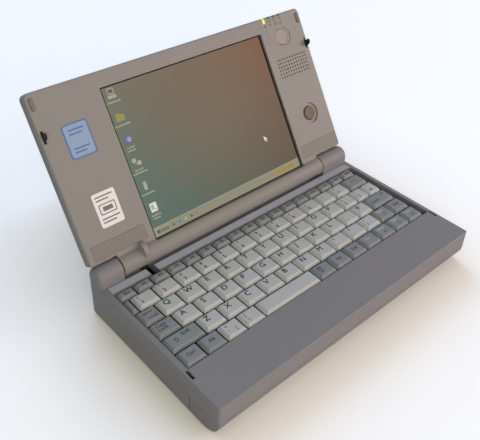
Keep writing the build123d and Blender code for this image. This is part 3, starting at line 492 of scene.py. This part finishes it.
def cap_loop(mesh, box, r, height):
    """A loop round a cap, its front and back sides cut into short runs so that they follow the dish."""
    corners = rounded_box(*box, r)
    points = []
    for i, (x, y) in enumerate(corners):
        points.append((x, y))
        ahead = corners[(i + 1) % len(corners)]
        if i in (3, 11):
            points += [(x + (ahead[0] - x) * k / dish_runs, y) for k in range(1, dish_runs)]
    return ring(mesh, [(x, y, height(x)) for x, y in points])


def key_cap(mesh, x0, x1, y0, y1, skin):
    """One cap with its stem. Returns its top: left, right, front, back, middle, half width and dish."""
    low = inward((x0, x1, y0, y1), key_gap / 2)
    slope = min(side_slope, slope_share * (low[1] - low[0]))
    high = (low[0] + slope, low[1] - slope, low[2] + front_slope, low[3] - back_slope)
    middle, half = (high[0] + high[1]) / 2, (high[1] - high[0]) / 2
    deep = dish if x1 - x0 < long_key else long_dish
    below = (key_top - brow_r - cap_foot) / (key_top - cap_foot)
    shoulder = [a + (b - a) * below for a, b in zip(low, high)]
    inside = inward(low, lip_inset)

    def crown(x):
        return key_crown(x, middle, half, deep)

    loops = [cap_loop(mesh, inside, cap_corner, lambda x: lip_bottom),
             cap_loop(mesh, inside, cap_corner, lambda x: cap_foot - 0.1),
             cap_loop(mesh, low, cap_corner, lambda x: cap_foot),
             cap_loop(mesh, shoulder, cap_corner, lambda x: crown(x) - brow_r),
             cap_loop(mesh, inward(shoulder, 0.06), cap_corner, lambda x: crown(x) - 0.06),
             cap_loop(mesh, inward(shoulder, brow_r), cap_corner, crown)]
    lid_over(mesh, loops[0], skin)
    for share in (0.75, 0.5, 0.25):
        edge = (middle - half * share, middle + half * share, high[2] + (1 - share) * (high[3] - high[2]) / 2,
                high[3] - (1 - share) * (high[3] - high[2]) / 2)
        loops.append(cap_loop(mesh, edge, cap_corner * share, crown))
    for a, b in zip(loops, loops[1:]):
        skirt(mesh, a, b, skin)
    lid_over(mesh, loops[-1], skin)
    sx = min(stem_half, stem_share * (x1 - x0))
    cx, cy = (x0 + x1) / 2, (y0 + y1) / 2
    post = [(cx - sx, cy - stem_half), (cx + sx, cy - stem_half), (cx + sx, cy + stem_half),
            (cx - sx, cy + stem_half)]
    foot = ring(mesh, [(x, y, stem_bottom) for x, y in post])
    skirt(mesh, foot, ring(mesh, [(x, y, lip_bottom + 0.1) for x, y in post]), skin)
    lid_over(mesh, foot, skin)
    return (high[0] + 0.1, high[1] - 0.1, high[2], high[3], middle, half, deep)


capital_share = 0.7


def glyph(text, height, wide=1.0):
    """The outline of some characters as flat faces, with a capital of one height: points and faces."""
    curve = bpy.data.curves.new("characters", "FONT")
    curve.body = text
    curve.size = height / capital_share
    curve.resolution_u = 3
    holder = bpy.data.objects.new("characters", curve)
    bpy.context.collection.objects.link(holder)
    flat = bpy.data.meshes.new_from_object(holder)
    points = [(v.co[0] * wide, v.co[1]) for v in flat.vertices]
    faces = [tuple(p.vertices) for p in flat.polygons]
    bpy.data.objects.remove(holder)
    bpy.data.meshes.remove(flat)
    bpy.data.curves.remove(curve)
    return points, faces


stroke_half = 0.23
head_long = 1.1
head_half = 0.715


def arrow(turn, length=2.8):
    """An arrow as flat faces, pointing right when turn is 0, with its middle at 0."""
    neck = length - head_long
    shaft = [(0, -stroke_half), (neck, -stroke_half), (neck, stroke_half), (0, stroke_half)]
    tip = [(neck, -head_half), (length, 0), (neck, head_half)]
    cos, sin = math.cos(math.radians(turn)), math.sin(math.radians(turn))
    centred = [(x - length / 2, y) for x, y in shaft + tip]
    return [(x * cos - y * sin, x * sin + y * cos) for x, y in centred], [(0, 1, 2, 3), (4, 5, 6)]


def upright(height):
    """A short upright bar, with its middle at 0."""
    h, s = height / 2, stroke_half
    return [(-s, -h), (s, -h), (s, h), (-s, h)], [(0, 1, 2, 3)]


def hollow_arrow():
    """The outline of a broad arrow that points up, with its middle at 0."""
    outside = [(0, 1.75), (1.65, 0.1), (0.82, 0.1), (0.82, -1.55),
               (-0.82, -1.55), (-0.82, 0.1), (-1.65, 0.1)]
    inside = [(0, 1.2), (0.78, 0.46), (0.46, 0.46), (0.46, -1.18),
              (-0.46, -1.18), (-0.46, 0.46), (-0.78, 0.46)]
    count = len(outside)
    return outside + inside, [(i, (i + 1) % count, count + (i + 1) % count, count + i) for i in range(count)]


ink_lift = 0.02
pass_lift = 0.003
letter_high, letter_wide, letter_bold = 3.4, 1.12, 0.12
upper_high, lower_high, beside_high, pair_bold = 2.3, 2.6, 2.4, 0.08
word_high, long_word_high, word_bold = 2.3, 2.2, 0.06
small_high, small_bold = 1.9, 0.07
white_high, white_small_high, white_bold = 2.3, 1.7, 0.04
long_arrow = 5.4


def stamp(mesh, shape, x, y, top, ink=black_slot, centred=False, bold=0.0):
    """Print a flat shape on a cap's top at x, y: its lower left corner, or the middle of its width."""
    points, faces = shape
    middle, half, deep = top[4:]
    shift = (min(px for px, py in points) + max(px for px, py in points)) / 2 if centred else 0.0
    passes = ((-bold, 0), (bold, 0), (0, bold), (0, -bold)) if bold else ((0, 0),)
    for layer, (dx, dy) in enumerate(passes):
        lift = ink_lift + pass_lift * layer
        flat = [(x + px - shift + dx, y + py + dy) for px, py in points]
        spots = [mesh.verts.new((sx, sy, key_crown(sx, middle, half, deep) + lift)) for sx, sy in flat]
        for face in faces:
            mesh.faces.new([spots[corner] for corner in face]).material_index = ink


def key_marks(mesh, top, mark, small):
    """What is printed on one cap: a letter, a pair, lines of a word, or arrows, and white words after a ~."""
    left, right, front, back, middle = top[:5]
    level = (front + back) / 2
    plain, _, white = (mark, "", "") if mark.startswith("~|") else mark.partition("~")
    turn = {"<": 180, ">": 0, "v": 270, "^": 90}.get(plain)
    if white:
        height, drop = (white_small_high, 2.9) if plain else (white_high, 4.4)
        stamp(mesh, glyph(white, height), middle - 0.4, back - drop, top, white_slot, centred=True,
              bold=white_bold)
    if turn is not None:
        stamp(mesh, arrow(turn), middle + 0.2, front + 2.3, top)
    elif plain == "<--":
        stamp(mesh, arrow(180, length=long_arrow), middle, level + 0.6, top)
    elif plain == "<>":
        for way, x, y, bar_x in ((180, left + 4.4, back - 2.5, -2.95), (0, left + 4.9, back - 6.5, 2.95)):
            stamp(mesh, arrow(way, length=long_arrow), x, y, top)
            stamp(mesh, upright(2.0), x + bar_x, y, top)
    elif plain == "Shift^":
        stamp(mesh, hollow_arrow(), left + 4.6, level, top)
        stamp(mesh, glyph("Shift", long_word_high), left + 8.8, level + 0.5, top, bold=word_bold)
    elif plain == "Enter<":
        stamp(mesh, glyph("Enter", long_word_high), left + 1.6, level - 1.9, top, bold=word_bold)
        stamp(mesh, arrow(180, length=3.4), right - 3.6, level + 1.7, top)
        stamp(mesh, upright(1.6), right - 2.1, level + 2.3, top)
    elif "|" in plain:
        upper, lower = ("|", plain[2:]) if plain.startswith("||") else plain.split("|", 1)
        lower, _, beside = lower.partition("|")
        stamp(mesh, glyph(upper, upper_high), left + 1.3, back - 3.1, top, bold=pair_bold)
        stamp(mesh, glyph(lower, lower_high), left + 1.6, front + 0.8, top, bold=pair_bold)
        if beside:
            stamp(mesh, glyph(beside, beside_high), left + 6.2, front + 1.0, top, bold=pair_bold)
    elif len(plain) == 1:
        stamp(mesh, glyph(plain, letter_high, letter_wide), left + 1.8, back - 4.2, top, bold=letter_bold)
    elif small:
        stamp(mesh, glyph(plain, small_high), middle + 0.3, back - 2.9, top, centred=True, bold=small_bold)
    elif "/" in plain:
        for i, line in enumerate(plain.split("/")):
            stamp(mesh, glyph(line, word_high), left + 0.9, level + 0.7 - 2.7 * i, top, bold=word_bold)
    elif plain:
        stamp(mesh, glyph(plain, word_high), middle, level - 0.8, top, centred=True, bold=word_bold)


key_slots = {"light_key": light_cap, "dark_key": dark_cap}
key_meshes = {}
key_y = row_front
for depth, row in rows:
    shared = (key_field - sum(size for node, mark, size in row)) / max(1, sum(1 for k in row if k[2] == 0))
    key_x = key_left
    for node, mark, size in row:
        size = size or shared
        mesh = key_meshes.setdefault(node, bmesh.new())
        narrow = size < row_pitch / 2
        top = key_cap(mesh, key_x, key_x + size, key_y, key_y + depth, dark_slot if narrow else 0)
        key_marks(mesh, top, mark, depth == function_row)
        key_x += size
    key_y += depth
for node, mesh in key_meshes.items():
    slot = "light_key" if node in light_nodes else "dark_key"
    add_piece(node + "_caps", mesh, [key_slots[slot], black_ink, white_ink, dark_cap], node,
              stands_for=(node,))

# Battery: a flat pack of four wrapped cells in a housing that forms the rounded front edge of the
# machine. It slides in from the front and is held by a sprung latch in the underside.
battery_grey = moulded("battery_grey", eye(140, 137, 139))
dress(battery_grey, "battery_case", "battery_latch")
cell_wrap = moulded("cell_wrap", eye(70, 96, 150), roughness=0.32, grain=1800.0, relief=0.06, wear_and_glint=0.05)
dress(cell_wrap, "battery_cells")

# Hinge pins: two ground and polished steel pins, on which the lid's barrel turns. Each is pressed
# into one of the shoulders of the upper casing.
dress(metal("pin_bright", eye(176, 177, 178), 0.25, brush=(3000.0, 200.0, 200.0)), "hinge_pin_left",
      "hinge_pin_right")

# Lid back and click buttons: the rear shell of the lid, in the casing's plastic, and the two
# moulded buttons in it, behind the pointing nub, where the fingers meet them.
dress(case_grey, "lid_back")
dress(moulded("button_grey", eye(132, 131, 135), roughness=0.46), "click_button_upper", "click_button_lower")

# Boards and speaker in the lid: the lamp supply, the switch board, the pointing board and an
# oval speaker in a pressed steel basket behind its holes.
supply_chips_from = 0.00019
all_chips_from = -0.02
dress(circuit("supply_green", "lid", supply_chips_from, upward=False), "inverter_board")
dress(circuit("switch_green", "lid", all_chips_from), "lid_board")
dress(circuit("pointing_green", "lid", all_chips_from), "pointing_board")
speaker_black = moulded("speaker_black", eye(14, 14, 15), roughness=0.85, grain=1500.0, relief=0.5, wear_and_glint=0.0,
                        specular=0.1)
dress(speaker_black, "speaker")

# Display module: a black painted frame that holds the panel, and the panel's own front glass,
# matt against glare. It is lit from behind and shows a plain working screen with small pictures;
# the colour shift of its light with the viewing angle is painted into the glow.
dress(moulded("module_black", eye(16, 16, 17), roughness=0.7, grain=2000.0, wear_and_glint=0.0, specular=0.2),
      "display_panel")

view_left_u, view_right_u = -59.7, 64.3
view_low_v, view_high_v = 5.5, 98.5
glass_w = 1.0
warm_middle = (0.008, 0.062, glass_w / 1000)


def share_of(finish, value, low, high):
    """0 to 1 between two limits."""
    return step(finish, "MapRange", Value=value, From_Min=low, From_Max=high).outputs["Result"]


def blend_of(finish, share, first, second):
    """One colour fading into another."""
    return step(finish, "MixRGB", Fac=share, Color1=first, Color2=second).outputs["Color"]


def lit(name, shown):
    """A part of the screen that glows in its own colour, or colours, under a matt glass."""
    finish, skin = bare(name, (0.010, 0.010, 0.010, 1.0), 0.3, specular=0.12)
    if callable(shown):
        feed(finish, shown(finish), skin, "Emission Color")
    else:
        skin.inputs["Emission Color"].default_value = shown
    skin.inputs["Emission Strength"].default_value = 1.0
    return finish


def backdrop(finish):
    """Dark green at the lower left, olive at the upper left, brown at the right: a painted view-angle shift,
    with faint flecks.
    """
    part = step(finish, "SeparateXYZ", Vector=lid_place(finish))
    across = share_of(finish, part.outputs["X"], view_left_u / 1000, view_right_u / 1000)
    up = share_of(finish, part.outputs["Y"], view_low_v / 1000, view_high_v / 1000)
    low = blend_of(finish, across, eye(78, 108, 98), eye(88, 78, 58))
    high = blend_of(finish, across, eye(112, 112, 92), eye(118, 76, 52))
    view_angle_wash = blend_of(finish, up, low, high)
    from_middle = step(finish, "VectorMath", {"operation": "DISTANCE"}, at0=lid_place(finish),
                       at1=warm_middle).outputs["Value"]
    warm = step(finish, "MapRange", Value=from_middle, From_Min=0.0, From_Max=0.06, To_Min=0.4, To_Max=0.0)
    mixed = blend_of(finish, warm.outputs["Result"], view_angle_wash, eye(126, 108, 84))
    dots = step(finish, "TexNoise", Vector=lid_place(finish), Scale=900.0, Detail=1.0).outputs["Fac"]
    fleck = step(finish, "MapRange", Value=dots, From_Min=0.3, From_Max=0.7, To_Min=0.0, To_Max=0.1)
    return blend_of(finish, fleck.outputs["Result"], mixed, eye(92, 88, 78))


dress(lit("screen_backdrop", backdrop), "screen")

# Picture on the screen: what the panel shows, as thin flat shapes just over its glass. A bar with
# a corner button runs along the bottom, and six small pictures with captions stand at the left.
lid_frame = Matrix.Translation((0, hinge_y, hinge_z)) @ Matrix.Rotation(lid_angle, 4, "X")
layer = 0.01
on_glass = glass_w + 0.012
above = on_glass + 0.012
over = above + layer
upmost = over + layer
picture = bmesh.new()
screen_colours = {"bar": eye(136, 134, 112), "pale": eye(164, 164, 146), "button": eye(140, 138, 118),
                  "dark": eye(92, 92, 78), "blue": eye(102, 102, 150), "red": eye(176, 98, 92),
                  "yellow": eye(148, 138, 78), "amber": eye(156, 116, 66), "haze": eye(150, 152, 176),
                  "white": eye(216, 212, 196)}
bar, pale, button, dark, blue, red, yellow, amber, haze, white = range(len(screen_colours))


def tile(mesh, u0, v0, u1, v1, skin, w, r=0.0):
    """A flat rectangle on the lid, with rounded corners if r is given."""
    if r:
        loop = [(u, v, w) for u, v in rounded_box(u0, u1, v0, v1, r)]
    else:
        loop = [(u0, v0, w), (u1, v0, w), (u1, v1, w), (u0, v1, w)]
    lid_over(mesh, ring(mesh, loop), skin)


bar_v = view_low_v + 5.6
tile(picture, view_left_u, view_low_v, view_right_u, bar_v, bar, on_glass)
tile(picture, view_left_u, bar_v, view_right_u, bar_v + 0.3, pale, on_glass)
tile(picture, -58.9, 6.1, -48.6, 10.5, pale, above, 0.3)
tile(picture, -58.6, 6.2, -48.4, 10.2, button, over, 0.3)
tile(picture, -57.8, 7.2, -55.4, 9.4, dark, upmost)
for i in range(5):
    tile(picture, -54.6 + i * 1.15, 7.3, -53.8 + i * 1.15, 8.9 if i % 2 else 9.3, dark, upmost)
for u, paint in ((-45.6, dark), (-40.8, blue), (-36.2, pale), (-31.6, dark), (-27.6, red)):
    tile(picture, u - 1.4, 6.9, u + 1.4, 9.7, button, above, 0.4)
    tile(picture, u - 0.9, 7.4, u + 0.9, 9.2, paint, over, 0.5)
tile(picture, 40.5, 6.4, 60.5, 10.2, yellow, above, 0.3)
for i in range(7):
    tile(picture, 42.0 + i * 2.5, 7.4, 43.6 + i * 2.5, 9.0 + 0.3 * (i % 2), amber, over)

icon_u = -54.2
screen_marks = ((94.6, "desk"), (80.0, "folder"), (66.2, "ball"), (52.2, "pair"), (37.2, "bin"),
                (23.2, "page"))
for v, kind in screen_marks:
    if kind == "desk":
        tile(picture, icon_u - 2.4, v - 0.6, icon_u + 2.0, v + 3.0, pale, above, 0.4)
        tile(picture, icon_u - 1.8, v, icon_u + 1.4, v + 2.4, dark, over)
        tile(picture, icon_u - 3.0, v - 3.0, icon_u + 2.6, v - 1.2, pale, above, 0.3)
    elif kind == "folder":
        tile(picture, icon_u - 2.9, v - 2.4, icon_u + 2.9, v + 1.4, yellow, above, 0.4)
        tile(picture, icon_u - 2.5, v + 0.6, icon_u + 0.2, v + 2.5, yellow, over, 0.5)
    elif kind == "ball":
        lid_over(picture, ring(picture, disc(2.6, above, icon_u, v)), blue)
        lid_over(picture, ring(picture, disc(1.5, over, icon_u + 0.5, v - 0.2)), haze)
    elif kind == "pair":
        tile(picture, icon_u - 2.8, v - 0.2, icon_u - 0.2, v + 2.4, pale, above, 0.3)
        tile(picture, icon_u + 0.2, v - 2.4, icon_u + 2.8, v + 0.2, pale, above, 0.3)
        tile(picture, icon_u - 1.6, v - 1.4, icon_u + 0.2, v - 1.0, pale, above)
    elif kind == "bin":
        tile(picture, icon_u - 1.3, v - 2.6, icon_u + 0.9, v + 1.6, pale, above, 0.4)
        tile(picture, icon_u - 1.6, v + 1.8, icon_u + 1.2, v + 2.5, pale, above, 0.2)
    else:
        tile(picture, icon_u - 2.4, v - 2.8, icon_u + 2.4, v + 2.8, white, above, 0.3)
        tile(picture, icon_u - 1.6, v - 1.2, icon_u + 0.2, v + 1.6, pale, over)
        tile(picture, icon_u + 0.5, v - 1.8, icon_u + 1.7, v - 1.3, red, over)
random.seed(11)
captions = ((89.4, (9.4,)), (75.2, (11.6,)), (61.4, (5.6, 6.4)), (47.4, (6.0, 10.6)), (32.2, (9.0,)),
            (18.4, (6.6, 5.0)))
line_pitch = 1.9
letter_space = 0.32
for v, spans in captions:
    for line, span in enumerate(spans):
        level = v - line_pitch * line
        u = icon_u - span / 2
        while u < icon_u + span / 2 - 0.7:
            long = random.uniform(0.5, 0.9)
            tile(picture, u, level - 0.55, u + long, level + random.uniform(0.2, 0.55), pale, above)
            u += long + letter_space
pointer = [(41.4, 35.2), (41.4, 31.2), (42.4, 32.1), (43.0, 30.6), (43.7, 30.9), (43.0, 32.3), (44.3, 32.4)]
lid_over(picture, ring(picture, [(u, v, above) for u, v in pointer]), white)
add_piece("screen_picture", picture, [lit("screen_" + n, c) for n, c in screen_colours.items()], "lid",
          place=lid_frame)

# Bezel: the front half of the lid, in the plastic of the lid's back but painted a lighter, warmer grey as
# painted warm light, with the window, the speaker's holes and the front of the hinge barrel. It meets the
# lid's back round the edge.
# Painted warm light: this grey is lighter and warmer than the same plastic on the lid's back.
bezel_taupe = moulded("bezel_taupe", eye(151, 146, 142), roughness=0.48)
dress(bezel_taupe, "lid_bezel")

# Signs over the status lights: a line to the first light, a small cell, a ring and a box, printed
# on the bezel in dark grey ink.
face_w = 2.7
sign_w = face_w + 0.015
sign_v = 103.0
first_light_u = 71.4
line_half = 0.16
sign_ink, sign_gap = 0, 1
sign_grey = print_ink("sign_grey", eye(86, 82, 80))
signs = bmesh.new()


def stroke(mesh, u0, v0, u1, v1):
    """A thin printed line along u or v."""
    if u0 == u1:
        tile(mesh, u0 - line_half, min(v0, v1), u0 + line_half, max(v0, v1), sign_ink, sign_w)
    else:
        tile(mesh, min(u0, u1), v0 - line_half, max(u0, u1), v0 + line_half, sign_ink, sign_w)


stroke(signs, first_light_u, 101.4, first_light_u, 95.0)
stroke(signs, first_light_u, 95.0, 74.2, 95.0)
lid_over(signs, ring(signs, disc(0.8, sign_w, first_light_u, sign_v, 16)), sign_ink)
for ends in ((75.2, 102.3, 77.2, 102.3), (75.2, 103.7, 77.2, 103.7), (75.2, 102.3, 75.2, 103.7),
             (77.2, 102.3, 77.2, 103.7), (77.5, 102.8, 77.5, 103.2)):
    stroke(signs, *ends)
lid_over(signs, ring(signs, disc(0.95, sign_w, 81.0, sign_v, 18)), sign_ink)
lid_over(signs, ring(signs, disc(0.35, sign_w + layer, 81.0, sign_v, 18)), sign_gap)
tile(signs, 84.8, 102.2, 86.8, 103.8, sign_ink, sign_w)
tile(signs, 85.3, 103.1, 86.3, 103.8, sign_gap, sign_w + layer)
add_piece("lid_signs", signs, [sign_grey, bezel_taupe], "lid", place=lid_frame)

# Paper labels: two labels of coated paper, one white and one blue with a darker edge, stuck on the
# bezel at the left. They carry plain bars and a frame.
paper_thick = 0.09
print_step = 0.012
white_paper, blue_paper, blue_edge, grey_print = range(4)


def paper_label(name, colour, edge_colour):
    """Coated paper, very slightly wavy and grubby in small patches."""
    finish, skin = bare(name, colour, 0.34, specular=0.45)
    place = step(finish, "TexCoord").outputs["Object"]
    fibres = step(finish, "TexNoise", Vector=place, Scale=420.0, Detail=5.0).outputs["Fac"]
    feed(finish, blend_of(finish, fibres, edge_colour, colour), skin, "Base Color")
    bump = step(finish, "Bump", Strength=0.25, Distance=0.00008, Height=fibres)
    feed(finish, bump.outputs["Normal"], skin, "Normal")
    return finish


def label(mesh, u0, u1, v0, v1, r, skin):
    """A label with its thickness."""
    low = ring(mesh, [(u, v, face_w - 0.02) for u, v in rounded_box(u0, u1, v0, v1, r)])
    high = ring(mesh, [(u, v, face_w + paper_thick) for u, v in rounded_box(u0, u1, v0, v1, r)])
    skirt(mesh, low, high, skin)
    lid_over(mesh, high, skin)


label_white = paper_label("label_white", eye(246, 246, 245), eye(238, 237, 234))
label_blue = paper_label("label_blue", eye(150, 174, 206), eye(138, 163, 197))
label_blue_edge = paper_label("label_blue_edge", eye(84, 120, 170), eye(78, 112, 160))
label_grey = print_ink("label_grey", eye(120, 119, 120))
labels = bmesh.new()
label(labels, -89.9, -74.9, 24.4, 44.6, 1.3, white_paper)
label(labels, -91.8, -75.4, 66.2, 86.4, 1.8, blue_edge)
on_label = face_w + paper_thick + print_step
tile(labels, -90.9, 67.1, -76.3, 85.5, blue_paper, on_label, 1.3)
white_bars = ((42.2, -88.2, -77.0), (40.2, -88.2, -80.0), (29.2, -88.2, -76.6), (27.2, -88.2, -79.4))
for v, u0, u1 in white_bars:
    tile(labels, u0, v - 0.4, u1, v + 0.4, grey_print, on_label)
tile(labels, -87.8, 31.6, -77.0, 37.8, grey_print, on_label, 0.8)
tile(labels, -87.2, 32.2, -77.6, 37.2, white_paper, on_label + print_step, 0.6)
tile(labels, -85.6, 33.4, -79.2, 36.0, grey_print, on_label + 2 * print_step)
blue_bars = ((82.6, -88.6, -78.6), (80.2, -88.6, -80.4), (72.0, -88.6, -78.6), (69.8, -88.6, -81.2))
for v, u0, u1 in blue_bars:
    tile(labels, u0, v - 0.45, u1, v + 0.45, blue_edge, on_label + print_step)
add_piece("paper_labels", labels, [label_white, label_blue, label_blue_edge, label_grey], "lid",
          place=lid_frame)

# Status lights and power button: four clear light guides that wrap over the lid's upper edge, the
# first one lit, and a round button in the bezel's plastic that sits in its ring.
guide_reach = 2.4
guide_glow = 0.55


def guides(finish):
    """1 on the first guide, which glows yellow-green, and 0 on the dark ones."""
    part = step(finish, "SeparateXYZ", Vector=lid_place(finish))
    return between(finish, part.outputs["X"], (first_light_u - guide_reach) / 1000,
                   (first_light_u + guide_reach) / 1000)


light_guide, skin = bare("light_guide", eye(110, 106, 96), 0.22, specular=0.5)
glowing = guides(light_guide)
feed(light_guide, blend_of(light_guide, glowing, eye(54, 52, 48), eye(196, 200, 60)), skin, "Base Color")
feed(light_guide, blend_of(light_guide, glowing, (0, 0, 0, 1), eye(190, 198, 40)), skin, "Emission Color")
skin.inputs["Emission Strength"].default_value = guide_glow
dress(light_guide, "status_lights")
# Painted highlight: the power button is a little lighter than the bezel's plastic that it is made of.
dress(moulded("power_taupe", eye(160, 151, 146), roughness=0.42), "power_button")

# Pointing nub: a round button of soft brown-grey rubber, dished for the fingertip. It is pushed
# on to the post of its force sensor and stands in a round opening of the bezel.
nub_rubber = moulded("nub_rubber", eye(128, 112, 96), roughness=0.62, grain=2600.0, relief=0.3, wear_and_glint=0.1,
                     specular=0.25)
dress(nub_rubber, "pointing_nub")

# Hinge covers, bumpers and switch fin: thin plates pressed in over the hinge screws, two soft
# pads, and the fin that works the lid's switch, in copies of the bezel's colour: the covers and pads
# painted darker as painted shade, the fin lighter as a painted highlight.
dress(moulded("cover_taupe", eye(139, 132, 127), roughness=0.5), "hinge_covers")
dress(moulded("fin_taupe", eye(160, 152, 147), roughness=0.46), "lid_fin")
dress(moulded("pad_taupe", eye(136, 129, 124), roughness=0.7, specular=0.2), "lid_bumpers")

# Latch hooks: two black moulded hooks on sprung sliders, near the bezel's side edges. They catch
# in the slots of the palm rest when the lid is shut.
dress(satin_black, "latch_hook_left", "latch_hook_right")

# The table top, the lamps and the camera, which stand where they did for the picture: a pale plain
# floor that darkens where the machine shades it, soft lamps at the right, the left and the front,
# and the cooler light of a window behind.
floor_half = 4.0
shade_reach = 0.11
shade_depth = 1.8
near_edge, far_edge = 0.7, 2.6
near_glow, far_glow = 0.5, 0.96
floor_mesh = bpy.data.meshes.new("floor")
floor_corners = [(x * floor_half, y * floor_half, 0) for x, y in ((-1, -1), (1, -1), (1, 1), (-1, 1))]
floor_mesh.from_pydata(floor_corners, [], [(0, 1, 2, 3)])
floor = bpy.data.objects.new("floor", floor_mesh)
floor.location = (0, 0, cad_box[0][2])
bpy.context.collection.objects.link(floor)
paper, skin = bare("paper", (0.8, 0.8, 0.81, 1.0), 0.9, specular=0.1)
floor_mesh.materials.append(paper)
ray = step(paper, "LightPath").outputs["Is Camera Ray"]
# Painted shadow: the glow seen by the camera is dimmed by the floor's occlusion near the machine, and turns
# warm there, over the lamps' own shadows.
open_sky = step(paper, "AmbientOcclusion", {"samples": 12}, Distance=shade_reach).outputs["AO"]
painted_shadow_mask = step(paper, "Math", {"operation": "POWER"}, at0=open_sky, at1=shade_depth).outputs["Value"]
away = step(paper, "VectorMath", {"operation": "LENGTH"}, at0=step(paper, "TexCoord").outputs["Object"])
far = step(paper, "MapRange", Value=away.outputs["Value"], From_Min=near_edge, From_Max=far_edge,
           To_Min=near_glow, To_Max=far_glow).outputs["Result"]
glow_with_painted_shadow = step(paper, "Math", {"operation": "MULTIPLY"}, at0=painted_shadow_mask, at1=far).outputs["Value"]
seen_glow = step(paper, "Math", {"operation": "MULTIPLY"}, at0=ray, at1=glow_with_painted_shadow).outputs["Value"]
# Painted shadow colour: warm orange where the floor is occluded, cool white in the open.
painted_shadow_glow_colour = step(paper, "MixRGB", Fac=painted_shadow_mask, Color1=(1.0, 0.72, 0.34, 1.0), Color2=(0.93, 0.95, 1.0, 1.0))
glow = step(paper, "Emission", Color=painted_shadow_glow_colour.outputs["Color"], Strength=seen_glow)
mixed_paper = step(paper, "AddShader", at0=skin.outputs["BSDF"], at1=glow.outputs["Emission"])
feed(paper, mixed_paper.outputs["Shader"], paper.node_tree.nodes["Material Output"], "Surface")

world = bpy.data.worlds.new("room")
bpy.context.scene.world = world
world.use_nodes = True
room = world.node_tree.nodes["Background"]
room.inputs["Color"].default_value = (0.90, 0.95, 1.0, 1.0)
room.inputs["Strength"].default_value = 0.09
seen = step(world, "Background", Color=(0.80, 0.85, 1.0, 1.0)).outputs["Background"]
rays = step(world, "LightPath").outputs
direct = step(world, "Math", {"operation": "MAXIMUM"}, at0=rays["Is Camera Ray"], at1=rays["Is Glossy Ray"])
shown = step(world, "Math", {"operation": "MAXIMUM"}, at0=direct.outputs["Value"],
             at1=rays["Is Transmission Ray"])
blend = step(world, "MixShader", at0=shown.outputs["Value"], at1=room.outputs["Background"], at2=seen)
feed(world, blend.outputs["Shader"], world.node_tree.nodes["World Output"], "Surface")

lamp_aim = Vector((0, 0, 0.03))


def lamp(name, towards, distance, size, power, colour):
    """A square soft lamp that stands in one direction from the middle of the keys and faces them."""
    data = bpy.data.lights.new(name, "AREA")
    data.size = size
    data.energy = power
    data.color = colour
    thing = bpy.data.objects.new(name, data)
    line = Vector(towards).normalized()
    thing.location = lamp_aim + line * distance
    thing.rotation_euler = line.to_track_quat("Z", "Y").to_euler()
    bpy.context.collection.objects.link(thing)


lamp("right_lamp", (0.85, -0.45, 0.35), distance=1.8, size=1.0, power=14.0, colour=(1.0, 0.88, 0.76))
lamp("left_lamp", (-0.55, -0.70, 0.45), distance=1.6, size=1.0, power=10.8, colour=(1.0, 1.0, 0.80))
lamp("front_lamp", (0.35, -0.83, 0.40), distance=1.8, size=1.3, power=6.4, colour=(1.0, 0.70, 0.82))
lamp("window_light", (0.22, 0.72, 0.65), distance=1.6, size=0.9, power=9.6, colour=(0.50, 0.70, 1.0))

shot = bpy.data.cameras.new("camera")
shot.lens = 50.728
shot.sensor_width = 36.0
shot.shift_x = 0.01532
shot.shift_y = -0.06648
shot.clip_start = 0.01
camera = bpy.data.objects.new("camera", shot)
camera.location = (-0.237778, -0.201698, 0.29648)
camera.rotation_euler = tuple(math.radians(a) for a in (53.9473, -2.0877, -41.5369))
bpy.context.collection.objects.link(camera)
bpy.context.scene.camera = camera
bpy.context.scene.view_settings.view_transform = "Standard"
